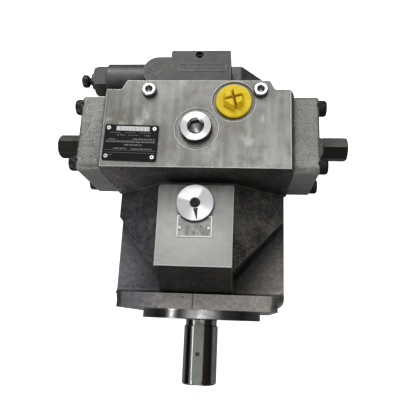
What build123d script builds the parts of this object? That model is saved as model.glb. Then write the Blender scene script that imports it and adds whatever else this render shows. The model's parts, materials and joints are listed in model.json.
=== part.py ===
"""Variable axial piston pump with a tilting cradle and a pressure controller.

Millimetres. The origin is the centre of the mounting flange's face, on the
shaft's axis. The shaft points along -Y, the port plate is at +Y, and the
machined top with the name plate faces +Z.
"""
from build123d import *
import os
from math import cos, radians, sin, sqrt

# ---------------------------------------------------------------- driving sizes
FIT = 0.05  # gap between parts that turn, slide or screw into each other

# Mounting flange and shaft end
FLANGE_HALF = 85.0
FLANGE_CORNER = 12.0
FLANGE_THICK = 15.5
FLANGE_BOLT_CIRCLE = 180.0
FLANGE_HOLE_R = 7.0
SPIGOT_R = 70.0
SPIGOT_LENGTH = 9.0
SHAFT_R = 20.0
SHAFT_END = -82.0
KEY_WIDTH = 12.0
KEY_HEIGHT = 8.0
KEY_LENGTH = 68.0
KEY_DEPTH = 5.0
KEY_START = -80.5
KEY_HOLE_Y = -47.6
KEY_TURN = 2.0
BEARING_BORE_R = 40.0
SEAL_BORE_R = 31.0
CIRCLIP_GROOVE = (-8.0, -6.4)

# Case
CASE_HALF = 94.0
BASE_HALF = 45.0
SHOULDER_TOP = (37.4, 110.0)
SHOULDER_BEND = (66.0, 85.0)
SHOULDER_RIM = (91.5, 69.0)
SHOULDER_FRONT = 37.0
LOWER_Z = -94.0
REAR = 207.6
PAD_HALF = 37.4
PAD_FRONT = 39.3
PAD_REAR = 119.2
PAD_Z = 128.2
NECK_FRONT = 16.5
NECK_Z = 82.0
V_CORNER = (86.0, 92.8)
V_SIDE = 102.5
FOOT_Z = -100.0
COVE_R = 8.0

# Stroke cylinder block across the back of the case
BLOCK_FRONT = 127.2
BLOCK_HALF = 94.4
BLOCK_TOP_HALF = 90.1
BLOCK_TOP = 159.3
BLOCK_TAIL = 217.2
BLOCK_TAIL_HALF = 70.5
BLOCK_CORNER = 2.8
STROKE_Y = 168.0
STROKE_Z = 105.2
STROKE_R = 25.0
STROKE_TRAVEL = 17.6
PISTON_HALF = 68.0
COVER_HALF_Y = 39.8
COVER_HALF_Z = 40.5
COVER_FACE = 119.4
COVER_SEAT = 117.0
COVER_BOLTS = (30.5, 32.2)
COVER_SCREW_R = 5.0
COVER_SPOTFACE_R = 8.3
COVER_SEAL = (28.5, 32.0)
STOP_R = 7.0
STOP_FLATS = 22.0
STOP_NUT_END = 127.5
STOP_CAP_END = 152.8

# Rotating group
TILT_Y = 100.2
TILT_LIMIT = 15.0
PISTON_COUNT = 9
PISTON_R = 11.0
PISTON_CIRCLE = 39.5
BARREL_R = 55.5
BARREL_FRONT = 118.0
BARREL_REAR = 199.5
SWASH_Y = 91.2
CRADLE_R = 56.0
CRADLE_HALF = 40.0
ARM_BOTTOM = 58.5
ARM_TOP = 73.0
SHELL_R = 60.0
REAR_SHAFT_R = 17.0
JOURNAL_R = 12.5
REAR_BEARING_R = 26.0
BALL_R = 7.5
FIRST_PISTON = 10.0
RING_GROOVES = (58.0, 48.0)
LEVER_PIN_R = 7.0
LEVER_BUSH_R = 10.0
STEM_R = 5.0
STEM_BUSH_R = 8.0
DISC_R = 18.5
DISC_TOP = 133.4

# Port plate
PLATE_REAR = 272.0
PLATE_TOP = 97.0
PLATE_SCREW_R = 7.0
PLATE_SCREW_DEPTH = 15.0
PLATE_SEAL = (65.0, 68.0)
PORT_Y = 240.0
PORT_FACE = 92.0
SUCTION_R = 25.0
SUCTION_BOLTS = (42.9, 77.8)
PRESSURE_R = 12.5
PRESSURE_BOLTS = (27.8, 57.2)
PORT_THREAD_R = 5.1

# Pressure controller
VALVE_Y = 241.5
VALVE_Z = 116.0
VALVE_TOP = 138.0
SPOOL_R = 8.0
SPOOL_END = -71.0
LABEL = (1.4, 245.1)
LUG_X = -45.0
LUG_R = 16.0
SPRING_HOUSING_R = 18.0
SPRING_HOUSING_END = -102.8
HEX_END = -116.7
LOCK_NUT_END = -121.0
SCREW_HEAD = (-133.1, -125.8)
SPRING_PLATE_X = -97.8
VALVE_SCREW_R = 2.5
VALVE_SCREW_DEPTH = 8.0
LUG_BORE_R = 12.0
END_PLUG_R = 11.0
ADJUSTER_R = 4.0

# Socket screws: shank radius -> head radius, head height, hexagon across flats
SOCKET_HEADS = {VALVE_SCREW_R: (4.25, 5.0, 4.0), COVER_SCREW_R: (8.0, 10.0, 8.0),
                PLATE_SCREW_R: (10.5, 14.0, 12.0)}

AXES = {"x": (Plane.YZ, 1), "y": (Plane.XZ, -1), "z": (Plane.XY, 1)}


# ---------------------------------------------------------------- shape helpers
def stand(face, axis, start, end, a=0.0, b=0.0):
    """Extrude a flat face along an axis; a and b are its other two coordinates."""
    plane, sign = AXES[axis]
    low = min(sign * start, sign * end)
    return plane * Pos(a, b, low) * extrude(face, abs(end - start))


def rod(radius, axis, start, end, a=0.0, b=0.0):
    """Round bar along an axis."""
    return stand(Circle(radius), axis, start, end, a, b)


def tube(outer, inner, axis, start, end, a=0.0, b=0.0):
    """Round tube along an axis."""
    return stand(Circle(outer) - Circle(inner), axis, start, end, a, b)


def hexagon(flats, axis, start, end, a=0.0, b=0.0, turn=0.0):
    """Hexagonal bar along an axis, given its size across flats."""
    return stand(RegularPolygon(flats / 2, 6, major_radius=False, rotation=turn), axis, start, end, a, b)


def outline(points, corner=0.0):
    """Closed flat face through points, with all its corners rounded."""
    face = make_face(Polyline(*points, close=True))
    return fillet(face.vertices(), corner) if corner else face


def prism(points, axis, start, end, corner=0.0):
    """Extrude a closed outline along an axis."""
    return stand(outline(points, corner), axis, start, end)


def block(x0, x1, y0, y1, z0, z1):
    """Box between two corners."""
    centre = Pos((x0 + x1) / 2, (y0 + y1) / 2, (z0 + z1) / 2)
    return centre * Box(x1 - x0, y1 - y0, z1 - z0)


def mirrored(points):
    """Add the mirror image of points that run up the +X side."""
    return points + [(-x, z) for x, z in reversed(points)]


def corners(half_a, half_b, a=0.0, b=0.0):
    """Four corners of a rectangle round a centre."""
    return [(a + i * half_a, b + j * half_b) for i in (-1, 1) for j in (-1, 1)]


def ring_of(solid, count, offset=0.0):
    """Copies of a solid, spaced evenly round the shaft's axis."""
    return [Rot(0, offset + 360 * i / count, 0) * solid for i in range(count)]


def cove(start, end, floor, radius):
    """Concave rounding at the foot of a wall that stands on the right of the line from start to end."""
    along = Vector(end[0] - start[0], end[1] - start[1], 0)
    outward = along.rotate(Axis.Z, 90)
    foot = Plane(origin=(*start, floor), x_dir=outward, z_dir=along)
    corner = Rectangle(radius, radius, align=(Align.MIN, Align.MIN)) - Pos(radius, radius) * Circle(radius)
    return foot * extrude(corner, along.length)


def group(solids):
    """One node that holds several separate solids."""
    return Compound(children=list(solids))


def socket_screw(shank, axis, seat, out, length, a, b):
    """Cap screw whose head stands on seat and points along out (+1 or -1)."""
    head_r, head_height, flats = SOCKET_HEADS[shank]
    top = seat + out * head_height
    screw = rod(head_r, axis, seat, top, a, b) + rod(shank, axis, seat - out * length, seat, a, b)
    return screw - hexagon(flats, axis, top - out * head_height / 2, top, a, b)


def socket_plug(collar, height, thread, depth, flats, axis, seat, out, a, b):
    """Screw plug with a round collar and a hexagon socket."""
    top = seat + out * height
    plug = rod(collar, axis, seat, top, a, b) + rod(thread, axis, seat - out * depth, seat, a, b)
    return plug - hexagon(flats, axis, top - out * (height + depth / 3), top, a, b)


def rivet(x, y, z, radius, hole=0.0):
    """Round-headed rivet with its head standing on z; a hollow rivet has a hole in the middle."""
    head = Pos(x, y, z) * Sphere(radius)
    head &= block(x - radius, x + radius, y - radius, y + radius, z, z + radius * 0.6)
    return head - rod(hole, "z", z + 0.2, z + radius, x, y) if hole else head


# ---------------------------------------------------------------- places of fasteners
FLANGE_BOLTS = corners(FLANGE_BOLT_CIRCLE / sqrt(8), FLANGE_BOLT_CIRCLE / sqrt(8))
COVER_SCREWS = corners(*COVER_BOLTS, STROKE_Y, STROKE_Z)
PLATE_SCREWS = corners(50.0, 66.0)
VALVE_SCREWS = [(-24.0, 224.5), (-1.0, 224.5), (22.0, 224.5), (-2.3, 259.6)]
NAME_PLATE = (-61.6, 150.6, 52.4, 36.8)
NAME_PLATE_TURN = -1.4
SCALE_PLATE = (0.0, 77.5, 34.4, 21.4)
CAP_PORT = (35.6, 194.9)
CAP_TURN = 22.0
CENTRE_PLUG = (0.6, 166.2)
SMALL_PLUGS = [(-47.0, 205.5), (61.4, 205.8)]
SPOTFACE_R = 21.2
PLUG_R = 15.2
PLUG_THREAD_R = 13.5
SMALL_THREAD_R = 5.0
CAP_BORE_R = 13.0
DRAIN_R = 9.0
DRAIN = (0.0, 150.0)
DRAIN_SEAT = FOOT_Z + 6.0
CAP_SEAT = BLOCK_TOP - 2.0
PLUG_SEAT = BLOCK_TOP - 1.0


# ---------------------------------------------------------------- case
def v_plan(front, tip):
    """Plan of a shoulder: a V that opens backwards from the pad's front corners."""
    side = CASE_HALF + 1
    return [(-tip, front), (tip, front), V_CORNER, (side, V_SIDE), (side, REAR), (-side, REAR),
            (-side, V_SIDE), (-V_CORNER[0], V_CORNER[1])]


def cast_coves(floor):
    """Cast roundings along the foot of the V walls and the flange, inside the case's width."""
    x, y = V_CORNER
    runs = [((x, y), (PAD_HALF, SHOULDER_FRONT)), ((-PAD_HALF, SHOULDER_FRONT), (-x, y)),
            ((-CASE_HALF, FLANGE_THICK), (CASE_HALF, FLANGE_THICK))]
    inside = block(-CASE_HALF, CASE_HALF, FLANGE_THICK - 1, V_SIDE, floor - 1, floor + COVE_R)
    return [cove(start, end, floor, COVE_R) & inside for start, end in runs]


def case_outside():
    """Flange, waist, shoulders, pads and the stroke cylinder block as one casting."""
    side = 2 * FLANGE_HALF
    body = stand(RectangleRounded(side, side, FLANGE_CORNER), "y", 0, FLANGE_THICK)
    body += rod(SPIGOT_R, "y", -SPIGOT_LENGTH, 1)
    waist = [(-CASE_HALF, 5), (CASE_HALF, 5), (CASE_HALF, REAR), (-CASE_HALF, REAR)]
    body += stand(outline(waist, 9.0), "z", -BASE_HALF, BASE_HALF) & block(
        -CASE_HALF, CASE_HALF, 0, REAR, -BASE_HALF, BASE_HALF)
    body += block(-CASE_HALF, CASE_HALF, REAR - 30, REAR, -BASE_HALF, BASE_HALF)
    plan = v_plan(SHOULDER_FRONT, PAD_HALF)
    upper = mirrored([(CASE_HALF, 0), (CASE_HALF, BASE_HALF - 4), SHOULDER_RIM, SHOULDER_BEND, SHOULDER_TOP])
    body += prism(upper, "y", 20, REAR) & prism(plan, "z", 0, SHOULDER_TOP[1], 2.0)
    lower = mirrored([(CASE_HALF, 0), (CASE_HALF, 4 - BASE_HALF), (SHOULDER_RIM[0], -72.0), (62.0, LOWER_Z)])
    body += prism(lower, "y", 20, REAR) & prism(plan, "z", LOWER_Z, 0, 2.0)
    for piece in cast_coves(BASE_HALF):
        body += piece
    pad = [(-PAD_HALF, NECK_FRONT), (PAD_HALF, NECK_FRONT), (PAD_HALF, PAD_REAR), (-PAD_HALF, PAD_REAR)]
    side_view = [(NECK_FRONT, 0), (PAD_REAR, 0), (PAD_REAR, PAD_Z), (PAD_FRONT, PAD_Z), (NECK_FRONT, NECK_Z)]
    body += prism(pad, "z", 0, PAD_Z, 2.5) & prism(side_view, "x", -PAD_HALF, PAD_HALF)
    foot = [(-PAD_HALF, 45), (PAD_HALF, 45), (PAD_HALF, 190), (-PAD_HALF, 190)]
    body += prism(foot, "z", FOOT_Z, -60, 6.0)
    return body + stroke_block_outside()


def stroke_block_outside():
    """Wide block for the stroke cylinder, with its tail over the port plate."""
    tail = mirrored([(BLOCK_HALF, BLOCK_FRONT), (BLOCK_HALF, REAR), (BLOCK_TAIL_HALF + 4.5, REAR),
                     (BLOCK_TAIL_HALF, BLOCK_TAIL)])
    slope = mirrored([(BLOCK_HALF, PLATE_TOP + 1.5), (BLOCK_HALF, 150.0), (BLOCK_TOP_HALF, BLOCK_TOP)])
    top = prism(tail, "z", PLATE_TOP + 1.5, BLOCK_TOP, BLOCK_CORNER) & prism(slope, "y", 100, 230)
    low = block(-BLOCK_HALF, BLOCK_HALF, BLOCK_FRONT, REAR, STROKE_Z - COVER_HALF_Z, PLATE_TOP + 5)
    return top + low


def case_bores():
    """Everything that is machined or cored out of the case."""
    bores = rod(BEARING_BORE_R + FIT, "y", -SPIGOT_LENGTH - 1, 31)
    bores += tube(BEARING_BORE_R + 2, BEARING_BORE_R - 1, "y", *CIRCLIP_GROOVE)
    bores += rod(24.0, "y", 30, 45)
    bores += rod(SHELL_R + FIT, "z", -42, 42, 0, TILT_Y) & block(-62, 62, 30, 110, -42, 42)
    bores += rod(62.0, "y", 68, REAR + 1)
    bores += tube(PLATE_SEAL[1], PLATE_SEAL[0], "y", REAR - 1.8, REAR + 1)
    arm_room = [(-31, 58), (31, 58), (38, 186), (-38, 186)]
    bores += prism(arm_room, "z", 0, 77)
    bores += block(-26, 26, 74, 116, 76, 102)
    bores += rod(STEM_BUSH_R + FIT, "z", 101, PAD_Z + 1, 0, TILT_Y)
    bores += rod(STROKE_R + FIT, "x", -BLOCK_HALF - 1, BLOCK_HALF + 1, STROKE_Y, STROKE_Z)
    bores += block(-31, 31, 154, 182, 75, STROKE_Z)
    for y, z in COVER_SCREWS:
        for side in (-1, 1):
            bores += rod(COVER_SCREW_R + FIT, "x", side * (BLOCK_HALF - 20), side * (BLOCK_HALF + 1), y, z)
    for x, z in FLANGE_BOLTS:
        bores += rod(FLANGE_HOLE_R, "y", -1, FLANGE_THICK + 1, x, z)
    for x, z in PLATE_SCREWS:
        bores += rod(PLATE_SCREW_R + FIT, "y", REAR - 32, REAR + 1, x, z)
    drain = rod(DRAIN_R + FIT, "z", FOOT_Z - 1, -50, *DRAIN) + rod(14.0, "z", FOOT_Z - 1, DRAIN_SEAT, *DRAIN)
    return bores + top_ports() + drain


def top_ports():
    """Spotfaced ports in the machined top face."""
    ports = rod(SPOTFACE_R, "z", PLUG_SEAT, BLOCK_TOP + 1, *CENTRE_PLUG)
    ports += rod(PLUG_THREAD_R + FIT, "z", BLOCK_TOP - 18, BLOCK_TOP, *CENTRE_PLUG)
    ports += rod(SPOTFACE_R, "z", CAP_SEAT, BLOCK_TOP + 1, *CAP_PORT)
    ports += rod(CAP_BORE_R + FIT, "z", BLOCK_TOP - 20, BLOCK_TOP, *CAP_PORT)
    for x, y in SMALL_PLUGS:
        ports += rod(SMALL_THREAD_R + FIT, "z", BLOCK_TOP - 14, BLOCK_TOP + 1, x, y)
    return ports


def housing():
    """The pump's main casting."""
    return case_outside() - case_bores()


# ---------------------------------------------------------------- port plate
def kidney(y0, y1, angle, width):
    """Curved slot round the shaft's axis, where oil passes to or from the barrel."""
    arc = CenterArc((0, 0), PISTON_CIRCLE, angle - 62, 124)
    return stand(SlotArc(arc, width), "y", y0, y1)


def port_plate():
    """Rear casting with the suction and pressure ports on its sides."""
    sides = mirrored([(52.0, -92.0), (88.0, -48.0), (88.0, 42.0), (42.0, PLATE_TOP)])
    plate = prism(sides, "y", REAR + FIT, PLATE_REAR, 4.0)
    pad = RectangleRounded(60.0, 100.0, 12.0)
    plate += stand(pad, "x", -PORT_FACE, PORT_FACE, PORT_Y, 0)
    plate -= rod(REAR_BEARING_R + FIT, "y", REAR - 1, 226)
    plate -= rod(16.0, "y", 225, 232)
    for side, radius, (gap_y, gap_z) in ((-1, SUCTION_R, SUCTION_BOLTS), (1, PRESSURE_R, PRESSURE_BOLTS)):
        plate -= kidney(REAR - 1, PORT_Y + 6, 90 - 90 * side, 12.0)
        plate -= rod(radius, "x", side * 31, side * (PORT_FACE + 1), PORT_Y, 0)
        for y, z in corners(gap_y / 2, gap_z / 2, PORT_Y, 0):
            plate -= rod(PORT_THREAD_R, "x", side * (PORT_FACE - 22), side * (PORT_FACE + 1), y, z)
    for x, z in PLATE_SCREWS:
        plate -= rod(PLATE_SCREW_R + 0.5, "y", REAR - 1, PLATE_REAR, x, z)
        plate -= rod(11.5, "y", PLATE_REAR - PLATE_SCREW_DEPTH, PLATE_REAR + 1, x, z)
    for x, y in VALVE_SCREWS:
        plate -= rod(VALVE_SCREW_R + FIT, "z", PLATE_TOP - 15, PLATE_TOP + 1, x, y)
    return plate


def port_plate_screws():
    """Four cap screws that hold the port plate to the case."""
    seat = PLATE_REAR - PLATE_SCREW_DEPTH
    return group(socket_screw(PLATE_SCREW_R, "y", seat, 1, 80, x, z) for x, z in PLATE_SCREWS)


def distributor_plate():
    """Wearing plate between the barrel and the port plate, with two kidney slots."""
    plate = tube(BARREL_R, 19.0, "y", BARREL_REAR + FIT, REAR)
    for angle in (0, 180):
        plate -= kidney(BARREL_REAR, REAR + 1, angle, 10.0)
    return plate


# ---------------------------------------------------------------- side covers and stops
def side_cover(side):
    """Square cover on one end of the stroke cylinder, with a tapped hole for the stop."""
    inside, outside = side * (BLOCK_HALF - 4), side * (COVER_FACE + 1)
    face = Rectangle(2 * COVER_HALF_Y, 2 * COVER_HALF_Z)
    face = fillet(face.vertices().group_by(Axis.X)[0], 7.0)
    face = fillet(face.vertices().group_by(Axis.X)[-1], 3.6)
    cover = stand(face, "x", side * (BLOCK_HALF + FIT), side * COVER_FACE, STROKE_Y, STROKE_Z)
    outer_edges = cover.faces().sort_by(Axis.X)[-1 if side > 0 else 0].edges()
    cover = fillet(outer_edges, 3.0)
    cover -= rod(STOP_R + FIT, "x", inside, outside, STROKE_Y, STROKE_Z)
    cover -= tube(COVER_SEAL[1], COVER_SEAL[0], "x", inside, side * (BLOCK_HALF + 2), STROKE_Y, STROKE_Z)
    for y, z in COVER_SCREWS:
        cover -= rod(COVER_SCREW_R + 0.5, "x", inside, outside, y, z)
        cover -= rod(COVER_SPOTFACE_R, "x", side * COVER_SEAT, outside, y, z)
    return cover


def cover_screws():
    """Eight cap screws of the two side covers."""
    seat = COVER_SEAT + FIT
    return group(socket_screw(COVER_SCREW_R, "x", side * seat, side, 38, y, z)
                 for side in (-1, 1) for y, z in COVER_SCREWS)


def cover_seals():
    """Two O-rings, one in each cover's groove."""
    start, end = BLOCK_HALF + FIT, BLOCK_HALF + 1.9
    inner, outer = COVER_SEAL[0] + 0.1, COVER_SEAL[1] - 0.1
    return group(tube(outer, inner, "x", side * start, side * end, STROKE_Y, STROKE_Z) for side in (-1, 1))


def stop_screw(side):
    """Threaded stop that limits the stroke piston's travel."""
    screw = rod(STOP_R, "x", side * (PISTON_HALF + STROKE_TRAVEL + 0.1), side * 143, STROKE_Y, STROKE_Z)
    return screw - hexagon(6.0, "x", side * 136, side * 144, STROKE_Y, STROKE_Z)


def stop_nut(side, inner, outer, depth, turn):
    """Hexagonal nut on a stop screw, with its hole up to depth."""
    nut = hexagon(STOP_FLATS, "x", side * inner, side * outer, STROKE_Y, STROKE_Z, turn)
    nut &= chamfer(rod(12.7, "x", side * (inner - 5), side * outer, STROKE_Y, STROKE_Z).edges(), 1.4)
    return nut - rod(STOP_R + FIT, "x", side * (inner - 1), side * depth, STROKE_Y, STROKE_Z)


def stop_lock_nuts():
    """Sealing nuts that lock the two stop screws."""
    return group(stop_nut(side, COVER_FACE + FIT, STOP_NUT_END, 130.0, 30.0 - 5.0 * side) for side in (-1, 1))


def stop_caps():
    """Long hexagonal cap nuts over the stop screws."""
    start = STOP_NUT_END + 0.1
    return group(stop_nut(side, start, STOP_CAP_END, 148.0, 30.0 + 8.0 * side) for side in (-1, 1))


# ---------------------------------------------------------------- pieces on the top faces
def name_plate():
    """Blank black data plate on the machined top face."""
    x, y, width, height = NAME_PLATE
    face = Rot(0, 0, NAME_PLATE_TURN) * RectangleRounded(width, height, 2.0)
    return stand(face, "z", BLOCK_TOP + 0.01, BLOCK_TOP + 0.8, x, y)


def name_plate_rivets():
    """Four rivets in the data plate's corners."""
    x, y, width, height = NAME_PLATE
    spots = corners(width / 2 - 4, height / 2 - 4)
    turn = radians(NAME_PLATE_TURN)
    places = [(x + a * cos(turn) - b * sin(turn), y + a * sin(turn) + b * cos(turn)) for a, b in spots]
    return group(rivet(a, b, BLOCK_TOP + 0.82, 2.2, 0.8) for a, b in places)


def scale_plate():
    """Small plate with the angle scale, under the indicator disc."""
    x, y, width, height = SCALE_PLATE
    return stand(RectangleRounded(width, height, 1.5), "z", PAD_Z + 0.01, PAD_Z + 0.8, x, y)


def scale_plate_rivets():
    """Two rivets that hold the scale plate."""
    return group(rivet(x, 75.6, PAD_Z + 0.82, 1.8) for x in (-14.1, 14.1))


def centre_plug():
    """Large socket plug in the middle of the top face."""
    return socket_plug(PLUG_R, 5.5, PLUG_THREAD_R, 15, 12, "z", BLOCK_TOP + 1.0, 1, *CENTRE_PLUG)


def centre_plug_seal():
    """Flat sealing ring under the large plug."""
    return tube(PLUG_R, PLUG_THREAD_R + 0.1, "z", PLUG_SEAT + 0.02, BLOCK_TOP + 0.98, *CENTRE_PLUG)


def small_plugs():
    """Two small socket plugs near the top face's rear edge."""
    seat = BLOCK_TOP + 0.02
    return group(socket_plug(7.0, 5.0, SMALL_THREAD_R, 10, 6, "z", seat, 1, x, y) for x, y in SMALL_PLUGS)


def port_cap():
    """Plastic push-in cap with a cross grip of four wedges."""
    x, y = CAP_PORT
    rim = CAP_SEAT + 3.5
    cap = rod(17.4, "z", CAP_SEAT + 0.02, rim, x, y)
    cap += rod(CAP_BORE_R - 0.1, "z", CAP_SEAT - 10, CAP_SEAT + 1, x, y)
    cap -= rod(10.9, "z", CAP_SEAT - 11, CAP_SEAT, x, y)
    grip = Pos(0, 0, -1) * extrude(Rectangle(19.5, 19.5), 10.0, taper=9)
    slots = block(-12, 12, -1.2, 1.2, 0, 12) + block(-1.2, 1.2, -12, 12, 0, 12)
    return cap + Pos(x, y, rim) * Rot(0, 0, CAP_TURN) * (grip - slots)


def drain_plug():
    """Socket plug under the case, for draining the oil."""
    return socket_plug(13.0, 5.0, DRAIN_R, 14, 10, "z", DRAIN_SEAT - 0.02, -1, *DRAIN)


# ---------------------------------------------------------------- shaft and bearings
def key_blank():
    """Round-ended key, lying on the shaft."""
    face = SlotOverall(KEY_LENGTH, KEY_WIDTH, rotation=90)
    bottom = SHAFT_R - KEY_DEPTH
    return stand(face, "z", bottom, bottom + KEY_HEIGHT, 0, KEY_START + KEY_LENGTH / 2)


def keyway():
    """Groove for the key, open at the shaft's end."""
    run_out = block(-KEY_WIDTH / 2, KEY_WIDTH / 2, SHAFT_END - 1, KEY_START + KEY_LENGTH / 2,
                    SHAFT_R - KEY_DEPTH, SHAFT_R + 1)
    return key_blank() + run_out


def drive_shaft():
    """Stepped shaft from the keyed end to the rear bearing."""
    profile = [(0, SHAFT_END), (SHAFT_R - 1.5, SHAFT_END), (SHAFT_R, SHAFT_END + 1.5), (SHAFT_R, -17),
               (18.5, -16), (18.5, -10), (SHAFT_R, -9), (SHAFT_R, 31.1), (23, 31.1), (23, 38), (18, 40),
               (18, 86), (REAR_SHAFT_R, 87), (REAR_SHAFT_R, 203), (JOURNAL_R, 204), (JOURNAL_R, 227),
               (JOURNAL_R - 1, 228), (0, 228)]
    shaft = revolve(make_face(Polyline(*profile, close=True)), Axis.Y)
    shaft -= Rot(0, -KEY_TURN, 0) * keyway()
    bore = rod(1.8, "y", SHAFT_END - 1, SHAFT_END + 14)
    return shaft - bore


def shaft_key():
    """Parallel key with an extraction hole in its middle."""
    key = key_blank() - rod(2.5, "z", 0, 30, 0, KEY_HOLE_Y)
    return Rot(0, -KEY_TURN, 0) * key


def rollers(radius, pitch, count, y0, y1):
    """Ring of bearing rollers."""
    return group(ring_of(rod(radius, "y", y0, y1, pitch, 0), count))


def seal_carrier():
    """Ring that closes the front of the bearing bore and holds the shaft seal."""
    return tube(BEARING_BORE_R, SEAL_BORE_R, "y", -6.3, 3) + tube(SEAL_BORE_R, 24.0, "y", 1, 3)


def shaft_seal():
    """Rotary shaft seal with its lip on the shaft."""
    outer = SEAL_BORE_R - FIT
    return tube(outer, SHAFT_R + 0.02, "y", -6, -3.5) + tube(outer, 28, "y", -3.6, 0.9)


def retaining_ring():
    """Circlip in front of the seal carrier."""
    ring = tube(BEARING_BORE_R + 1.9, 37.0, "y", -7.9, -6.5)
    return ring - block(-4, 4, -9, -5, -45, -30)


# ---------------------------------------------------------------- rotating group
def cylinder_barrel():
    """Barrel with nine piston bores and the room for its spring."""
    barrel = rod(BARREL_R, "y", BARREL_FRONT, BARREL_REAR)
    barrel -= rod(23.0, "y", BARREL_FRONT - 1, 172)
    barrel -= rod(REAR_SHAFT_R + FIT, "y", 170, BARREL_REAR + 1)
    bore = rod(PISTON_R + 0.03, "y", BARREL_FRONT - 1, 186, PISTON_CIRCLE, 0)
    bore += rod(4.8, "y", 185, BARREL_REAR + 1, PISTON_CIRCLE, 0)
    for hole in ring_of(bore, PISTON_COUNT, FIRST_PISTON):
        barrel -= hole
    return barrel


def pistons():
    """Nine pistons with ball ends at zero tilt."""
    piston = rod(PISTON_R, "y", 111, 166, PISTON_CIRCLE, 0) + rod(5.2, "y", 101, 112, PISTON_CIRCLE, 0)
    piston += Pos(PISTON_CIRCLE, TILT_Y, 0) * Sphere(BALL_R)
    return group(ring_of(piston, PISTON_COUNT, FIRST_PISTON))


def slippers():
    """Nine slippers that run on the cradle's face."""
    slipper = rod(12.0, "y", SWASH_Y + FIT, 95.5, PISTON_CIRCLE, 0)
    slipper += rod(10.0, "y", 95, 103, PISTON_CIRCLE, 0)
    slipper -= Pos(PISTON_CIRCLE, TILT_Y, 0) * Sphere(BALL_R + FIT)
    return group(ring_of(slipper, PISTON_COUNT, FIRST_PISTON))


def retaining_plate():
    """Disc that keeps the slippers on the cradle's face."""
    plate = tube(54.0, 25.2, "y", 95.6, 99.6)
    for hole in ring_of(rod(10.9, "y", 95, 100, PISTON_CIRCLE, 0), PISTON_COUNT, FIRST_PISTON):
        plate -= hole
    return plate


def spherical_guide():
    """Ball-shaped collar that centres the retaining plate."""
    ball = Pos(0, TILT_Y, 0) * Sphere(25.0)
    return (ball & block(-30, 30, 92, 114, -30, 30)) - rod(REAR_SHAFT_R + FIT, "y", 85, 120)


def coil(radius, wire, height, turns):
    """Helical spring standing on the XY plane, from 0 up."""
    path = Helix(pitch=(height - 2 * wire) / turns, height=height - 2 * wire, radius=radius)
    section = Plane(origin=path @ 0, z_dir=path % 0) * Circle(wire)
    return Pos(0, 0, wire) * sweep(section, path=path, is_frenet=True)


def barrel_spring():
    """Spring that presses the barrel on the distributor plate."""
    return Pos(0, 120.0, 0) * Rot(-90, 0, 0) * coil(20.0, 2.0, 51.5, 6)


def spring_seat():
    """Ring between the barrel's spring and the spherical guide."""
    return tube(22.8, REAR_SHAFT_R + FIT, "y", 114.2, 119.5)


# ---------------------------------------------------------------- cradle and stroke piston
def cradle():
    """Tilting half-round cradle with the running face and the lever arm."""
    rocker = rod(CRADLE_R, "z", -CRADLE_HALF, CRADLE_HALF, 0, TILT_Y)
    rocker &= block(-50, 50, 30, SWASH_Y, -50, 50)
    body = rocker + rod(54.0, "y", 79, SWASH_Y)
    body += block(-16, 16, 66, SWASH_Y, 0, ARM_TOP)
    body += block(-13, 13, 66, STROKE_Y, ARM_BOTTOM, ARM_TOP)
    body += rod(13.0, "z", ARM_BOTTOM, ARM_TOP, 0, STROKE_Y)
    tilt_axis = Axis((0, TILT_Y, 0), (0, 0, 1))
    passage = rod(22.8, "y", 20, 110)
    reach = [(-19.5, 20), (19.5, 20), (0, TILT_Y)]
    for angle in (-TILT_LIMIT, TILT_LIMIT):
        body -= passage.rotate(tilt_axis, angle)
    body -= prism(reach, "z", -22.8, 22.8) + passage
    body -= Pos(0, TILT_Y, 0) * Sphere(25.6)
    body -= rod(LEVER_PIN_R + FIT, "z", 55, 80, 0, STROKE_Y)
    return body - rod(STEM_R + FIT, "z", 60, 80, 0, TILT_Y)


def cradle_shells():
    """Two curved bearing shells that the cradle rocks in."""
    ring = tube(SHELL_R, CRADLE_R + FIT, "z", 24, CRADLE_HALF, 0, TILT_Y)
    reach = 70.0
    angle = radians(48.0)
    wedge = [(0, TILT_Y), (-reach * sin(angle), TILT_Y - reach * cos(angle)), (0, TILT_Y - 2 * reach),
             (reach * sin(angle), TILT_Y - reach * cos(angle))]
    shell = ring & prism(wedge, "z", 20, 50)
    return group([shell, shell.mirror(Plane.XY)])


def lever_pin():
    """Pin at the end of the cradle's arm."""
    return rod(LEVER_PIN_R, "z", ARM_BOTTOM + 1.5, 109, 0, STROKE_Y)


def lever_bush():
    """Bush on the lever pin, which slides in the stroke piston's slot."""
    return tube(LEVER_BUSH_R, LEVER_PIN_R + FIT, "z", 82, 108, 0, STROKE_Y)


def stroke_piston():
    """Double-ended piston that tilts the cradle."""
    body = rod(STROKE_R - 0.03, "x", -PISTON_HALF, PISTON_HALF, STROKE_Y, STROKE_Z)
    slot = LEVER_BUSH_R + 0.1
    body -= block(-slot, slot, 130, 210, 75, 110)
    for side in (-1, 1):
        for x in RING_GROOVES:
            body -= tube(STROKE_R + 1, STROKE_R - 2.5, "x", side * x, side * (x + 3), STROKE_Y, STROKE_Z)
    return body


def piston_rings():
    """Four sealing rings on the stroke piston."""
    return group(tube(STROKE_R, STROKE_R - 2.4, "x", side * (x + 0.1), side * (x + 2.9), STROKE_Y, STROKE_Z)
                 for side in (-1, 1) for x in RING_GROOVES)


def indicator_stem():
    """Stem that carries the cradle's angle out to the indicator."""
    return rod(STEM_R, "z", 62, PAD_Z + 1.2, 0, TILT_Y) - rod(3.0, "z", 116, 130, 0, TILT_Y)


def indicator_disc():
    """Round disc with the pointer."""
    disc = rod(DISC_R, "z", PAD_Z + 1.22, DISC_TOP, 0, TILT_Y)
    return disc - rod(3.0 + FIT, "z", 120, 140, 0, TILT_Y)


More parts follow.
